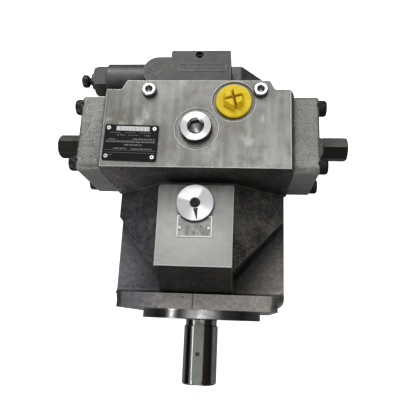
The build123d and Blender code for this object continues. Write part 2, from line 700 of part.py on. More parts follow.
def indicator_screw():
    """Socket screw in the middle of the disc."""
    top = DISC_TOP + 2.0
    screw = rod(5.0, "z", DISC_TOP + 0.02, top, 0, TILT_Y) + rod(2.95, "z", 118, top - 1, 0, TILT_Y)
    return screw - hexagon(4.0, "z", top - 1.8, top + 1, 0, TILT_Y)


def indicator_bush():
    """Bush for the indicator's stem."""
    return tube(STEM_BUSH_R, STEM_R + FIT, "z", 108, 122, 0, TILT_Y)


def indicator_seal():
    """Lip seal above the bush."""
    return tube(STEM_BUSH_R, STEM_R + 0.02, "z", 122.1, 126, 0, TILT_Y)


# ---------------------------------------------------------------- pressure controller
def valve_body():
    """Controller casting: a rounded block with a half-round lug for the spring housing."""
    main = [(-32.0, 219.0), (31.0, 219.0), (31.0, 265.0), (-32.0, 265.0)]
    body = prism(main, "z", PLATE_TOP + FIT, VALVE_TOP, 2.0)
    lug_rear, lug_front = VALVE_Y + LUG_R, VALVE_Y - LUG_R
    lug = rod(LUG_R, "z", PLATE_TOP + 1, VALVE_TOP, LUG_X, VALVE_Y)
    lug += block(LUG_X, -20, lug_front, lug_rear, PLATE_TOP + 1, VALVE_TOP)
    body += lug
    body -= rod(SPOOL_R + 0.02, "x", -70, 40, VALVE_Y, VALVE_Z)
    body -= rod(LUG_BORE_R + FIT, "x", -70, -40, VALVE_Y, VALVE_Z)
    body -= rod(END_PLUG_R + FIT, "x", 19, 32, VALVE_Y, VALVE_Z)
    seat = VALVE_TOP - VALVE_SCREW_DEPTH
    for x, y in VALVE_SCREWS:
        body -= rod(2.7, "z", 90, 140, x, y) + rod(4.5, "z", seat, 140, x, y)
    label = RectangleRounded(50.0, 9.6, 2.0) - RectangleRounded(48.4, 8.0, 1.2)
    return body + stand(label, "z", VALVE_TOP - 1, VALVE_TOP + 0.5, *LABEL)


def valve_screws():
    """Sunk cap screws that hold the controller."""
    seat = VALVE_TOP - VALVE_SCREW_DEPTH
    return group(socket_screw(VALVE_SCREW_R, "z", seat, 1, 44, x, y) for x, y in VALVE_SCREWS)


def spring_housing():
    """Turned sleeve for the controller's spring, with a hexagon at its outer end."""
    body = rod(LUG_BORE_R, "x", -62, -41, VALVE_Y, VALVE_Z)
    body += rod(SPRING_HOUSING_R, "x", SPRING_HOUSING_END, -61.1, VALVE_Y, VALVE_Z)
    body = chamfer(body.faces().sort_by(Axis.X)[0].edges(), 1.5)
    head = hexagon(30.0, "x", HEX_END, SPRING_HOUSING_END + 1, VALVE_Y, VALVE_Z, 8.0)
    head &= chamfer(rod(17.4, "x", HEX_END, -90, VALVE_Y, VALVE_Z).edges(), 2.0)
    body += head
    body -= rod(10.5, "x", SPRING_HOUSING_END + 1, -40, VALVE_Y, VALVE_Z)
    return body - rod(ADJUSTER_R + FIT, "x", HEX_END - 1, SPRING_HOUSING_END + 2, VALVE_Y, VALVE_Z)


def valve_lock_nut():
    """Nut that locks the adjusting screw."""
    nut = hexagon(17.0, "x", LOCK_NUT_END, HEX_END - FIT, VALVE_Y, VALVE_Z)
    nut &= chamfer(rod(9.8, "x", LOCK_NUT_END, HEX_END + 3, VALVE_Y, VALVE_Z).edges(), 1.0)
    return nut - rod(ADJUSTER_R + FIT, "x", LOCK_NUT_END - 1, HEX_END + 1, VALVE_Y, VALVE_Z)


def adjusting_screw():
    """Pressure adjusting screw with a grooved head."""
    start, end = SCREW_HEAD
    screw = rod(ADJUSTER_R, "x", end - 1, SPRING_PLATE_X - 0.1, VALVE_Y, VALVE_Z)
    screw += chamfer(rod(7.0, "x", start, end, VALVE_Y, VALVE_Z).edges(), 0.6)
    return screw - tube(8.0, 5.4, "x", end - 2.4, end - 1.0, VALVE_Y, VALVE_Z)


def spring_plate():
    """Disc between the adjusting screw and the spring."""
    return rod(10.4, "x", SPRING_PLATE_X, SPRING_PLATE_X + 4.5, VALVE_Y, VALVE_Z)


def valve_spring():
    """Controller spring."""
    start = SPRING_PLATE_X + 4.6
    return Pos(start, VALVE_Y, VALVE_Z) * Rot(0, 90, 0) * coil(8.2, 1.4, SPOOL_END - 0.1 - start, 4.5)


def valve_spool():
    """Control spool with three lands and a head for the spring."""
    spool = rod(SPOOL_R - 0.02, "x", -66, 15, VALVE_Y, VALVE_Z)
    for start in (-22.0, -2.0):
        spool -= tube(10.0, 5.0, "x", start, start + 9, VALVE_Y, VALVE_Z)
    return spool + rod(10.2, "x", SPOOL_END, SPOOL_END + 5, VALVE_Y, VALVE_Z)


def valve_end_plug():
    """Socket plug that closes the spool's bore."""
    plug = rod(END_PLUG_R, "x", 19.1, 30.5, VALVE_Y, VALVE_Z)
    return plug - hexagon(8.0, "x", 24, 31, VALVE_Y, VALVE_Z)


# ---------------------------------------------------------------- all nodes
NODES = {
    "housing": housing,
    "port_plate": port_plate,
    "port_plate_screws": port_plate_screws,
    "housing_seal": lambda: tube(PLATE_SEAL[1] - 0.1, PLATE_SEAL[0] + 0.1, "y", REAR - 1.75, REAR),
    "distributor_plate": distributor_plate,
    "cover_left": lambda: side_cover(-1),
    "cover_right": lambda: side_cover(1),
    "cover_screws": cover_screws,
    "cover_seals": cover_seals,
    "stop_screw_left": lambda: stop_screw(-1),
    "stop_screw_right": lambda: stop_screw(1),
    "stop_lock_nuts": stop_lock_nuts,
    "stop_caps": stop_caps,
    "name_plate": name_plate,
    "name_plate_rivets": name_plate_rivets,
    "scale_plate": scale_plate,
    "scale_plate_rivets": scale_plate_rivets,
    "centre_plug": centre_plug,
    "centre_plug_seal": centre_plug_seal,
    "small_plugs": small_plugs,
    "port_cap": port_cap,
    "drain_plug": drain_plug,
    "drive_shaft": drive_shaft,
    "shaft_key": shaft_key,
    "seal_carrier": seal_carrier,
    "shaft_seal": shaft_seal,
    "retaining_ring": retaining_ring,
    "front_bearing_outer": lambda: tube(BEARING_BORE_R, 34.0, "y", 8, 31),
    "front_bearing_rollers": lambda: rollers(3.9, 30.0, 18, 9.5, 29.5),
    "front_bearing_inner": lambda: tube(26.0, SHAFT_R + 0.02, "y", 8, 31),
    "rear_bearing_outer": lambda: tube(REAR_BEARING_R, 22.5, "y", 209, 225),
    "rear_bearing_rollers": lambda: rollers(2.9, 19.5, 15, 210.5, 223.5),
    "rear_bearing_inner": lambda: tube(16.5, JOURNAL_R + 0.02, "y", 209, 225),
    "cylinder_barrel": cylinder_barrel,
    "pistons": pistons,
    "slippers": slippers,
    "retaining_plate": retaining_plate,
    "spherical_guide": spherical_guide,
    "barrel_spring": barrel_spring,
    "spring_seat": spring_seat,
    "cradle": cradle,
    "cradle_shells": cradle_shells,
    "lever_pin": lever_pin,
    "lever_bush": lever_bush,
    "stroke_piston": stroke_piston,
    "piston_rings": piston_rings,
    "indicator_stem": indicator_stem,
    "indicator_disc": indicator_disc,
    "indicator_screw": indicator_screw,
    "indicator_bush": indicator_bush,
    "indicator_seal": indicator_seal,
    "valve_body": valve_body,
    "valve_screws": valve_screws,
    "spring_housing": spring_housing,
    "valve_lock_nut": valve_lock_nut,
    "adjusting_screw": adjusting_screw,
    "spring_plate": spring_plate,
    "valve_spring": valve_spring,
    "valve_spool": valve_spool,
    "valve_end_plug": valve_end_plug,
}

os.makedirs("parts", exist_ok=True)
for name, make in NODES.items():
    export_step(make(), f"parts/{name}.step")
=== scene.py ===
"""Looks of the axial piston pump: materials, fastener heads, plates, marks, light and camera."""
import json
from math import cos, pi, radians, sin

import bmesh
import bpy
from mathutils import Matrix, Vector


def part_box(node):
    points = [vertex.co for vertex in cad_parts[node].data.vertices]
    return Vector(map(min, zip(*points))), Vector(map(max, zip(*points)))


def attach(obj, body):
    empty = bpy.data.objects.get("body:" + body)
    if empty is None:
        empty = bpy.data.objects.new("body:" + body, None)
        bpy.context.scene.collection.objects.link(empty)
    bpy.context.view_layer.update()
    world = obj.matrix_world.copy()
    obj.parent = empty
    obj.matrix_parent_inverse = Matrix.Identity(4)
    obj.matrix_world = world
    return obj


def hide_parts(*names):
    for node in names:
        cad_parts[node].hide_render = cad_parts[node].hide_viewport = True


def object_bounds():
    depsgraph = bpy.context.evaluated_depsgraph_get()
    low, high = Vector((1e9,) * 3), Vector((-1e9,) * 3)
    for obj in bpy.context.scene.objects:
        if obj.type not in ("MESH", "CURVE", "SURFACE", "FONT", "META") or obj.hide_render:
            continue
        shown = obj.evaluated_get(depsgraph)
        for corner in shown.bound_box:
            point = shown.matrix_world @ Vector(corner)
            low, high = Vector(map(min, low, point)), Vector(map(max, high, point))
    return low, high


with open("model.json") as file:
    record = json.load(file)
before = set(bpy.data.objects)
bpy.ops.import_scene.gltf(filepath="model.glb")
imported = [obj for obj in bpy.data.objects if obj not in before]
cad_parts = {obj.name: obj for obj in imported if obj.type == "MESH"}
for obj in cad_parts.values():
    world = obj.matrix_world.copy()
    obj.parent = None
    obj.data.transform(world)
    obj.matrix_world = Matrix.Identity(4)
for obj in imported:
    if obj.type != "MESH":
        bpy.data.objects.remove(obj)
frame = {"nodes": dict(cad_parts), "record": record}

CAD_BOX = [list(corner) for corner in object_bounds()]
MM = 0.001
NODES = frame["nodes"]


def box_mm(node):
    """Lowest and highest corner of a CAD node, in millimetres."""
    low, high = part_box(node)
    return low / MM, high / MM


def centre_mm(node):
    """Centre of a CAD node's box, in millimetres."""
    low, high = box_mm(node)
    return (low + high) / 2


# ---------------------------------------------------------------- materials
# near-black for real pits and the mould seam, and for painted shade on forward faces and in hollows
GRIME_AND_SHADE = (0.012, 0.011, 0.010)
# colour of the painted highlight along sharp edges
PAINTED_EDGE_HIGHLIGHT = (0.95, 0.95, 0.93)
SEAM_X = -3.0
SEAM_END = 40.0
SPOTFACE = 21.3
PAD_END = 118.0
SLOPE = (0.754, -0.657, 3.9)  # line of the shoulders' V: 0.754 x - 0.657 y = 3.9 on its right side


class Surface:
    """A procedural material that is put together from small steps; lengths are in millimetres."""

    def __init__(self, name, color, metallic, roughness):
        self.material = bpy.data.materials.new(name)
        self.material.use_nodes = True
        self.material.diffuse_color = (*color, 1.0)
        self.tree = self.material.node_tree
        self.shader = self.tree.nodes["Principled BSDF"]
        self.normal = None
        self.color = self.rgb(color)
        self.rough = self.value(roughness)
        self.metal = self.value(metallic)
        scale = self.add("ShaderNodeVectorMath", operation="SCALE")
        self.tree.links.new(self.add("ShaderNodeTexCoord").outputs["Object"], scale.inputs[0])
        scale.inputs["Scale"].default_value = 1 / MM
        self.place = scale.outputs[0]
        self.axes = self.add("ShaderNodeSeparateXYZ")
        self.tree.links.new(self.place, self.axes.inputs[0])

    def add(self, kind, **settings):
        node = self.tree.nodes.new(kind)
        for key, setting in settings.items():
            setattr(node, key, setting)
        return node

    def plug(self, source, socket):
        if isinstance(source, (int, float)):
            socket.default_value = source
        elif isinstance(source, tuple):
            socket.default_value = source if len(source) != 3 or socket.type == "VECTOR" else (*source, 1.0)
        else:
            self.tree.links.new(source, socket)

    def rgb(self, color):
        node = self.add("ShaderNodeRGB")
        node.outputs[0].default_value = (*color, 1.0)
        return node.outputs[0]

    def value(self, number):
        node = self.add("ShaderNodeValue")
        node.outputs[0].default_value = number
        return node.outputs[0]

    def math(self, operation, a, b=0.0, c=0.0):
        node = self.add("ShaderNodeMath", operation=operation)
        for source, socket in zip((a, b, c), node.inputs):
            self.plug(source, socket)
        return node.outputs[0]

    def step(self, source, start, end, low=0.0, high=1.0):
        """Smooth change from low to high as source goes from start to end."""
        node = self.add("ShaderNodeMapRange", interpolation_type="SMOOTHSTEP")
        for socket, item in zip(node.inputs, (source, start, end, low, high)):
            self.plug(item, socket)
        return node.outputs[0]

    def mix(self, share, a, b, blend="MIX"):
        node = self.add("ShaderNodeMix", data_type="RGBA", blend_type=blend)
        self.plug(share, node.inputs["Factor"])
        self.plug(a, node.inputs[6])
        self.plug(b, node.inputs[7])
        return node.outputs[2]

    def blend(self, share, a, b):
        node = self.add("ShaderNodeMix", data_type="FLOAT")
        self.plug(share, node.inputs["Factor"])
        self.plug(a, node.inputs[2])
        self.plug(b, node.inputs[3])
        return node.outputs[0]

    def vector_mix(self, share, a, b):
        node = self.add("ShaderNodeMix", data_type="VECTOR")
        self.plug(share, node.inputs["Factor"])
        self.plug(a, node.inputs[4])
        self.plug(b, node.inputs[5])
        return node.outputs[1]

    def noise(self, size, detail=3.0, roughness=0.55, stretch=(1, 1, 1)):
        """Noise whose features are about size millimetres across."""
        node = self.add("ShaderNodeTexNoise")
        scaled = self.add("ShaderNodeVectorMath", operation="MULTIPLY")
        self.plug(self.place, scaled.inputs[0])
        self.plug(tuple(1 / (size * s) for s in stretch), scaled.inputs[1])
        self.plug(scaled.outputs[0], node.inputs["Vector"])
        self.plug(1.0, node.inputs["Scale"])
        self.plug(detail, node.inputs["Detail"])
        self.plug(roughness, node.inputs["Roughness"])
        return node.outputs["Fac"]

    def cells(self, size, smooth=0.3):
        """Distance to the nearest of many points that lie about size millimetres apart."""
        node = self.add("ShaderNodeTexVoronoi", feature="SMOOTH_F1")
        self.plug(self.place, node.inputs["Vector"])
        self.plug(1 / size, node.inputs["Scale"])
        self.plug(smooth, node.inputs["Smoothness"])
        return node.outputs["Distance"]

    def facing(self, axis):
        """How far the surface faces along a row axis, from -1 to 1."""
        node = self.add("ShaderNodeSeparateXYZ")
        self.tree.links.new(self.add("ShaderNodeTexCoord").outputs["Normal"], node.inputs[0])
        return node.outputs[axis]

    def edges(self, radius):
        """1 on sharp edges, 0 on flat stretches."""
        soft = self.add("ShaderNodeBevel", samples=4)
        self.plug(radius * MM, soft.inputs["Radius"])
        hard = self.add("ShaderNodeNewGeometry").outputs["Normal"]
        product = self.add("ShaderNodeVectorMath", operation="DOT_PRODUCT")
        self.plug(soft.outputs[0], product.inputs[0])
        self.plug(hard, product.inputs[1])
        return self.step(self.math("SUBTRACT", 1.0, product.outputs["Value"]), 0.02, 0.25)

    def hollow(self, distance):
        """1 in corners and grooves, 0 in the open."""
        node = self.add("ShaderNodeAmbientOcclusion", samples=6)
        self.plug(distance * MM, node.inputs["Distance"])
        return self.step(node.outputs["AO"], 0.85, 0.35)

    def bump(self, height, depth):
        """Add relief; depth is its full height in millimetres."""
        node = self.add("ShaderNodeBump")
        self.plug(1.0, node.inputs["Strength"])
        self.plug(depth * MM, node.inputs["Distance"])
        self.plug(height, node.inputs["Height"])
        if self.normal is not None:
            self.plug(self.normal, node.inputs["Normal"])
        self.normal = node.outputs[0]

    def distance(self, centre, plane="XY"):
        """Distance in millimetres from a centre, in a plane."""
        first, second = plane
        a = self.math("SUBTRACT", self.axes.outputs[first], centre[0])
        b = self.math("SUBTRACT", self.axes.outputs[second], centre[1])
        return self.math("SQRT", self.math("ADD", self.math("MULTIPLY", a, a), self.math("MULTIPLY", b, b)))

    def ripple(self, source, spacing):
        """Wave from 0 to 1 along a length."""
        wave = self.math("SINE", self.math("MULTIPLY", source, 2 * pi / spacing))
        return self.math("MULTIPLY_ADD", wave, 0.5, 0.5)

    def product(self, *factors):
        """Product of several values."""
        result = factors[0]
        for factor in factors[1:]:
            result = self.math("MULTIPLY", result, factor)
        return result

    def off(self, axis, middle):
        """Distance in millimetres from a plane across an axis."""
        return self.math("ABSOLUTE", self.math("SUBTRACT", self.axes.outputs[axis], middle))

    def layer(self, share, color, most=1.0):
        """Lay a colour over the surface's colour, at most by the share called most."""
        if most != 1.0:
            share = self.math("MULTIPLY", share, most)
        self.color = self.mix(share, self.color, color)

    def done(self):
        self.plug(self.color, self.shader.inputs["Base Color"])
        self.plug(self.rough, self.shader.inputs["Roughness"])
        self.plug(self.metal, self.shader.inputs["Metallic"])
        if self.normal is not None:
            self.plug(self.normal, self.shader.inputs["Normal"])
        return self.material


def milling(surface, centre, radius, pitch):
    """Crossing arcs that a face-milling cutter leaves, from 0 to 1."""
    across = surface.math("SUBTRACT", surface.axes.outputs["Y"], centre)
    square = surface.math("MULTIPLY", across, across)
    arc = surface.math("SQRT", surface.math("SUBTRACT", radius * radius, square))
    waves = []
    for sign in (-1.0, 1.0):
        along = surface.math("MULTIPLY_ADD", arc, sign, surface.axes.outputs["X"])
        waves.append(surface.math("SINE", surface.math("MULTIPLY", along, 2 * pi / pitch)))
    return surface.math("MULTIPLY_ADD", surface.math("ADD", *waves), 0.25, 0.5)


def scaled(color, factor):
    """A colour made lighter or darker."""
    return tuple(min(1.0, c * factor) for c in color)


def cast_skin(surface, dark, light, grain, painted_top_light=0.5, rust=0.35, shade=0.0):
    """Rough cast iron: mottled colour, painted light on upward faces, painted shade on forward faces and in
    hollows, rubbed edges and a sandy relief.
    """
    spots = surface.noise(2.2, 3, 0.6)
    surface.color = surface.mix(surface.step(surface.noise(38, 5, 0.62), 0.36, 0.64), dark, light)
    surface.layer(surface.step(surface.noise(11, 4, 0.6), 0.42, 0.7, 0.0, 0.65), scaled(dark, 0.45))
    surface.layer(surface.step(surface.noise(19, 4, 0.6), 0.55, 0.72, 0.0, 0.55), scaled(light, 2.1))
    # painted light: upward faces made paler
    surface.layer(surface.step(surface.facing("Z"), 0.87, 0.97, 0.0, painted_top_light), scaled(light, 2.2))
    # painted shade: forward faces made darker
    surface.layer(surface.step(surface.facing("Y"), -0.35, -0.85, 0.0, shade), GRIME_AND_SHADE)
    surface.layer(surface.step(spots, 0.45, 0.75, 0.0, 0.6), scaled(light, 2.0))
    surface.layer(surface.step(surface.noise(17, 5, 0.65), 0.55, 0.78, 0.0, rust), (0.10, 0.072, 0.045))
    pits = surface.step(surface.cells(8.5), 0.13, 0.06)
    surface.layer(pits, GRIME_AND_SHADE, 0.8)
    # painted shade in hollows, broad and tight (ambient occlusion)
    surface.layer(surface.hollow(45), GRIME_AND_SHADE, 0.55)
    surface.layer(surface.hollow(7), GRIME_AND_SHADE, 0.6)
    surface.layer(surface.edges(1.4), (0.38, 0.38, 0.35), 0.6)
    surface.rough = surface.step(spots, 0.3, 0.8, 0.38, 0.60)
    surface.bump(spots, grain * 1.4)
    surface.bump(surface.noise(8, 4, 0.6), grain * 3.6)
    surface.bump(surface.math("SUBTRACT", 1.0, pits), grain)


def cast_iron(name, dark, light, grain=0.16, metallic=0.35, painted_top_light=0.5, rust=0.35):
    """Plain cast iron."""
    surface = Surface(name, light, metallic, 0.5)
    cast_skin(surface, dark, light, grain, painted_top_light, rust)
    return surface.done()


def pitted_iron(name, dark, light):
    """Coarse sand-cast iron of the covers, with light and dark speckles and painted light on its forward
    faces.
    """
    surface = Surface(name, light, 0.4, 0.5)
    cast_skin(surface, dark, light, 0.2, 0.35, 0.3)
    # painted light: the covers' forward faces made paler
    surface.layer(surface.step(surface.facing("Y"), -0.3, -0.9, 0.0, 0.55), (0.36, 0.355, 0.335))
    speck = surface.noise(1.5, 3, 0.75)
    surface.layer(surface.step(speck, 0.54, 0.68, 0.0, 0.55), (0.50, 0.495, 0.455))
    surface.layer(surface.step(speck, 0.45, 0.34, 0.0, 0.7), (0.055, 0.054, 0.050))
    surface.bump(speck, 0.16)
    return surface.done()


def parting_line(surface):
    """Thin dark seam of the mould, down the middle of the flange."""
    front = surface.math("LESS_THAN", surface.axes.outputs["Y"], SEAM_END)
    seam = surface.product(surface.step(surface.off("X", SEAM_X), 0.9, 0.15), front)
    surface.bump(seam, -0.25)
    surface.layer(seam, GRIME_AND_SHADE, 0.8)


def turned_floors(surface, hatch):
    """Turned rings on the spotfaces around the plug and the cap, in place of the milling marks."""
    for node in ("centre_plug", "port_cap"):
        middle = centre_mm(node)
        away = surface.distance((middle.x, middle.y))
        inside = surface.math("LESS_THAN", away, SPOTFACE)
        hatch = surface.blend(inside, hatch, surface.ripple(away, 1.7))
    return hatch


def machined_top(surface, top):
    """Colour, roughness and normal of the milled top faces and of the turned floors around the plugs, with
    painted sheen, painted edge highlights and painted shade where they meet walls.
    """
    x, y = surface.axes.outputs["X"], surface.axes.outputs["Y"]
    on_top = surface.math("GREATER_THAN", surface.axes.outputs["Z"], top - 3.0)
    wide = milling(surface, centre=25.0, radius=220.0, pitch=2.4)
    short = milling(surface, centre=-60.0, radius=220.0, pitch=2.4)
    hatch = surface.blend(on_top, short, wide)
    hatch = surface.blend(surface.step(surface.noise(30, 3), 0.35, 0.6, 0.35, 1.0), 0.5, hatch)
    hatch = turned_floors(surface, hatch)
    haze = surface.noise(46, 3)
    # painted sheen: the top faces paler towards the right and front, the pad paler towards its front
    painted_sheen = surface.step(surface.math("MULTIPLY_ADD", y, -1.1, x), -230.0, -40.0)
    painted_sheen = surface.blend(on_top, surface.step(y, 115.0, 60.0), painted_sheen)
    share = surface.math("MULTIPLY_ADD", surface.step(haze, 0.32, 0.68), 0.55,
                         surface.math("MULTIPLY", painted_sheen, 0.45))
    streak = surface.step(surface.noise(13, 3, 0.5, (0.5, 3.5, 1)), 0.3, 0.7, -0.14, 0.14)
    share = surface.math("ADD", share, streak)
    surface.color = surface.mix(share, (0.110, 0.108, 0.096), (0.345, 0.350, 0.330))
    # painted sheen: the pad paler towards its front and left
    painted_pad_sheen = surface.product(surface.step(y, 118.0, 60.0, 0.12, 0.58), surface.step(x, 50.0, 5.0, 0.55, 1.0))
    surface.layer(surface.blend(on_top, painted_pad_sheen, 0.0), (0.66, 0.67, 0.64))
    stain = surface.step(surface.noise(24, 5, 0.66), 0.47, 0.70)
    surface.layer(surface.product(stain, surface.blend(on_top, 0.22, 0.66)), (0.118, 0.096, 0.072))
    shine = surface.step(surface.noise(31, 4, 0.6, (0.7, 1.2, 1)), 0.55, 0.72)
    surface.layer(shine, (0.47, 0.48, 0.455), 0.5)
    surface.layer(surface.step(hatch, 0.55, 0.1, 0.0, 0.34), (0.07, 0.07, 0.066))
    surface.layer(surface.step(hatch, 0.72, 0.98, 0.0, 0.24), (0.55, 0.55, 0.53))
    fine = surface.noise(1.3, 2, 0.7)
    surface.layer(surface.step(fine, 0.60, 0.8, 0, 0.3), (0.07, 0.065, 0.06))
    # painted highlight along the sharp edges
    surface.layer(surface.edges(1.2), (0.80, 0.80, 0.77), 0.9)
    # painted shade where the milled faces meet walls and plugs
    surface.layer(surface.hollow(3.5), (0.030, 0.025, 0.02), 0.9)
    surface.bump(hatch, 0.03)
    surface.bump(fine, 0.02)
    return surface.color, surface.step(haze, 0.3, 0.7, 0.34, 0.48), surface.normal


def flange_and_front_tint(surface, tint):
    """Painted light and shade: paler middle of the flange, darker left end of the flange, darker pad front
    and a paler left end of the stroke cylinder block.
    """
    x, y = surface.axes.outputs["X"], surface.axes.outputs["Y"]
    on_flange = surface.step(y, 30.0, 18.0)
    middle = surface.product(on_flange, surface.step(surface.off("X", 25.0), 90.0, 30.0))
    tint = surface.mix(middle, tint, (1.70, 1.68, 1.50))
    end = surface.product(on_flange, surface.step(x, -30.0, -80.0))
    tint = surface.mix(end, tint, (0.66, 0.65, 0.70))
    ahead = surface.step(surface.facing("Y"), -0.5, -0.9)
    tint = surface.mix(surface.product(ahead, surface.step(y, 70.0, 60.0)), tint, (0.42, 0.41, 0.36))
    block = surface.product(ahead, surface.step(y, 100.0, 110.0), surface.step(x, -20.0, -95.0))
    return surface.mix(block, tint, (3.4, 3.4, 3.4))


def recess_tint(surface, tint):
    """Painted shadow along the foot of the shoulders' V walls, and painted light: a paler floor away from the
    right wall.
    """
    x, y, z = (surface.axes.outputs[axis] for axis in "XYZ")
    floor = surface.product(surface.step(z, 62.0, 55.0), surface.step(y, 16.0, 22.0))
    rise = surface.math("SUBTRACT", surface.math("MULTIPLY", y, SLOPE[1]), SLOPE[2])
    right = surface.math("MULTIPLY_ADD", x, SLOPE[0], rise)
    left = surface.math("MULTIPLY_ADD", x, -SLOPE[0], rise)
    # painted shadow at the foot of the right V wall
    near = surface.product(surface.step(right, 36.0, 4.0), surface.step(right, -8.0, -2.0), floor)
    tint = surface.mix(near, tint, (0.20, 0.19, 0.17))
    # painted light: the floor paler away from the right wall
    tint = surface.mix(surface.product(surface.step(right, 30.0, 55.0), floor), tint, (1.75, 1.72, 1.60))
    # painted shadow at the foot of the left V wall
    near = surface.product(surface.step(left, 14.0, 2.0), surface.step(left, -6.0, -1.0), floor)
    return surface.mix(near, tint, (0.45, 0.44, 0.46))


def cast_tint(surface):
    """Multiply the cast colour by broad tints, painted light and shade, blotches and flecks."""
    rightwards = surface.step(surface.axes.outputs["X"], -70.0, 50.0)
    tint = surface.mix(rightwards, (1.02, 0.99, 1.12), (1.10, 1.06, 0.92))
    tint = recess_tint(surface, flange_and_front_tint(surface, tint))
    blotch = surface.step(surface.noise(5, 5, 0.7), 0.30, 0.72)
    blotch = surface.mix(blotch, (0.80, 0.80, 0.80), (1.35, 1.34, 1.30))
    tint = surface.mix(1.0, tint, blotch, "MULTIPLY")
    fleck = surface.step(surface.noise(1.6, 3, 0.75), 0.62, 0.72, 0.0, 0.5)
    tint = surface.mix(fleck, tint, (3.4, 3.35, 3.1))
    surface.color = surface.mix(1.0, surface.color, tint, "MULTIPLY")


def turned_front(surface):
    """Colour of the turned flange face and spigot: a painted dark reflection covers the spigot's wall on both
    sides, leaving one bright band and a thin gap for a lamp's glint.
    """
    turned = surface.mix(surface.step(surface.noise(14, 3), 0.4, 0.7), (0.66, 0.65, 0.63), (0.92, 0.91, 0.89))
    # painted reflection: darkens both sides of the spigot's wall, less where the lamp's glint falls
    band = surface.step(surface.off("X", 5.0), 8.0, 26.0)
    glint = surface.step(surface.off("X", -27.0), 9.0, 1.0)
    dark = surface.product(band, surface.math("MULTIPLY_ADD", glint, -0.8, 0.93),
                           surface.step(surface.facing("Y"), -0.8, -0.4))
    return surface.mix(dark, turned, (0.035, 0.034, 0.032))


def housing_iron():
    """Cast iron whose top faces are milled and whose spigot and flange face are turned."""
    top = box_mm("housing")[1].z
    pad = box_mm("scale_plate")[0].z
    surface = Surface("housing_iron", (0.2, 0.2, 0.19), 0.35, 0.5)
    # painted light on upward faces and painted shade on forward faces, at shares 0.8 and 0.6
    cast_skin(surface, (0.028, 0.026, 0.029), (0.088, 0.084, 0.087), 0.3, painted_top_light=0.8, rust=0.45, shade=0.6)
    cast_tint(surface)
    parting_line(surface)
    cast_color, cast_rough, cast_normal = surface.color, surface.rough, surface.normal
    surface.normal = None
    milled_color, milled_rough, milled_normal = machined_top(surface, top)
    y, z = surface.axes.outputs["Y"], surface.axes.outputs["Z"]
    near_pad = surface.math("LESS_THAN", surface.off("Z", pad), 0.3)
    flat = surface.math("MAXIMUM", surface.math("GREATER_THAN", z, top - 2.6), near_pad)
    milled = surface.product(flat, surface.step(surface.facing("Z"), 0.93, 0.99))
    front = surface.math("LESS_THAN", y, 0.15)
    # painted highlight: bright rims along the top edges and along the pad's edge
    pad_rim = surface.product(surface.math("LESS_THAN", surface.off("Z", pad - 0.5), 0.8),
                              surface.math("LESS_THAN", y, PAD_END))
    rim = surface.math("MAXIMUM", surface.math("GREATER_THAN", z, top - 1.2), pad_rim)
    plain = surface.mix(front, cast_color, turned_front(surface))
    plain = surface.mix(rim, plain, (0.92, 0.92, 0.88))
    surface.color = surface.mix(milled, plain, milled_color)
    surface.rough = surface.blend(milled, surface.blend(front, cast_rough, 0.2), milled_rough)
    plain_metal = surface.blend(front, surface.blend(rim, 0.35, 0.1), 0.95)
    surface.metal = surface.blend(milled, plain_metal, 0.55)
    soft = surface.add("ShaderNodeBevel", samples=4)
    surface.plug(1.2 * MM, soft.inputs["Radius"])
    normal = surface.vector_mix(front, cast_normal, soft.outputs[0])
    surface.normal = surface.vector_mix(milled, normal, milled_normal)
    return surface.done()


def painted_shaft_reflection(surface):
    """Painted reflection: two dark stripes along a polished shaft, standing for the dark surroundings it
    would mirror on both sides.
    """
    split = surface.add("ShaderNodeSeparateXYZ")
    surface.plug(surface.add("ShaderNodeNewGeometry").outputs["Normal"], split.inputs[0])
    side = split.outputs["X"]
    right = surface.product(surface.step(side, 0.22, 0.34), surface.step(side, 0.78, 0.66))
    left = surface.product(surface.step(side, -0.48, -0.54), surface.step(side, -0.84, -0.74))
    surface.layer(surface.math("MAXIMUM", left, right), (0.045, 0.036, 0.030))


def worked_metal(name, color, roughness, scratch=0.25, metallic=1.0, grain=(1, 1, 1), rim=0.0, front=1.0,
                 bands=False):
    """Machined or plated metal with fine scratches, smudges, a painted highlight along its edges and painted
    shade in its corners.

    front paints shade on the faces that look forwards; bands paints two dark stripes of reflection along a
    polished shaft.
    """
    surface = Surface(name, color, metallic, roughness)
    smudge = surface.noise(11, 4)
    lines = surface.noise(0.9, 3, 0.6, grain)
    surface.layer(surface.step(smudge, 0.4, 0.75, 0, 0.35), scaled(color, 0.55))
    surface.layer(surface.step(lines, 0.5, 0.8, 0, scratch), scaled(color, 1.6))
    if bands:
        painted_shaft_reflection(surface)
    if front < 1.0:
        # painted shade on the faces that look forwards
        surface.layer(surface.step(surface.facing("Y"), 0.25, -0.35), scaled(color, front))
    # painted shade in corners
    surface.layer(surface.hollow(4), (0.05, 0.045, 0.04), 0.85)
    # painted highlight along sharp edges, at the share rim
    surface.layer(surface.edges(0.6), PAINTED_EDGE_HIGHLIGHT, rim)
    surface.rough = surface.step(smudge, 0.3, 0.8, roughness * 0.8, min(1.0, roughness * 1.4))
    surface.bump(lines, 0.012 + 0.02 * scratch)
    return surface.done()


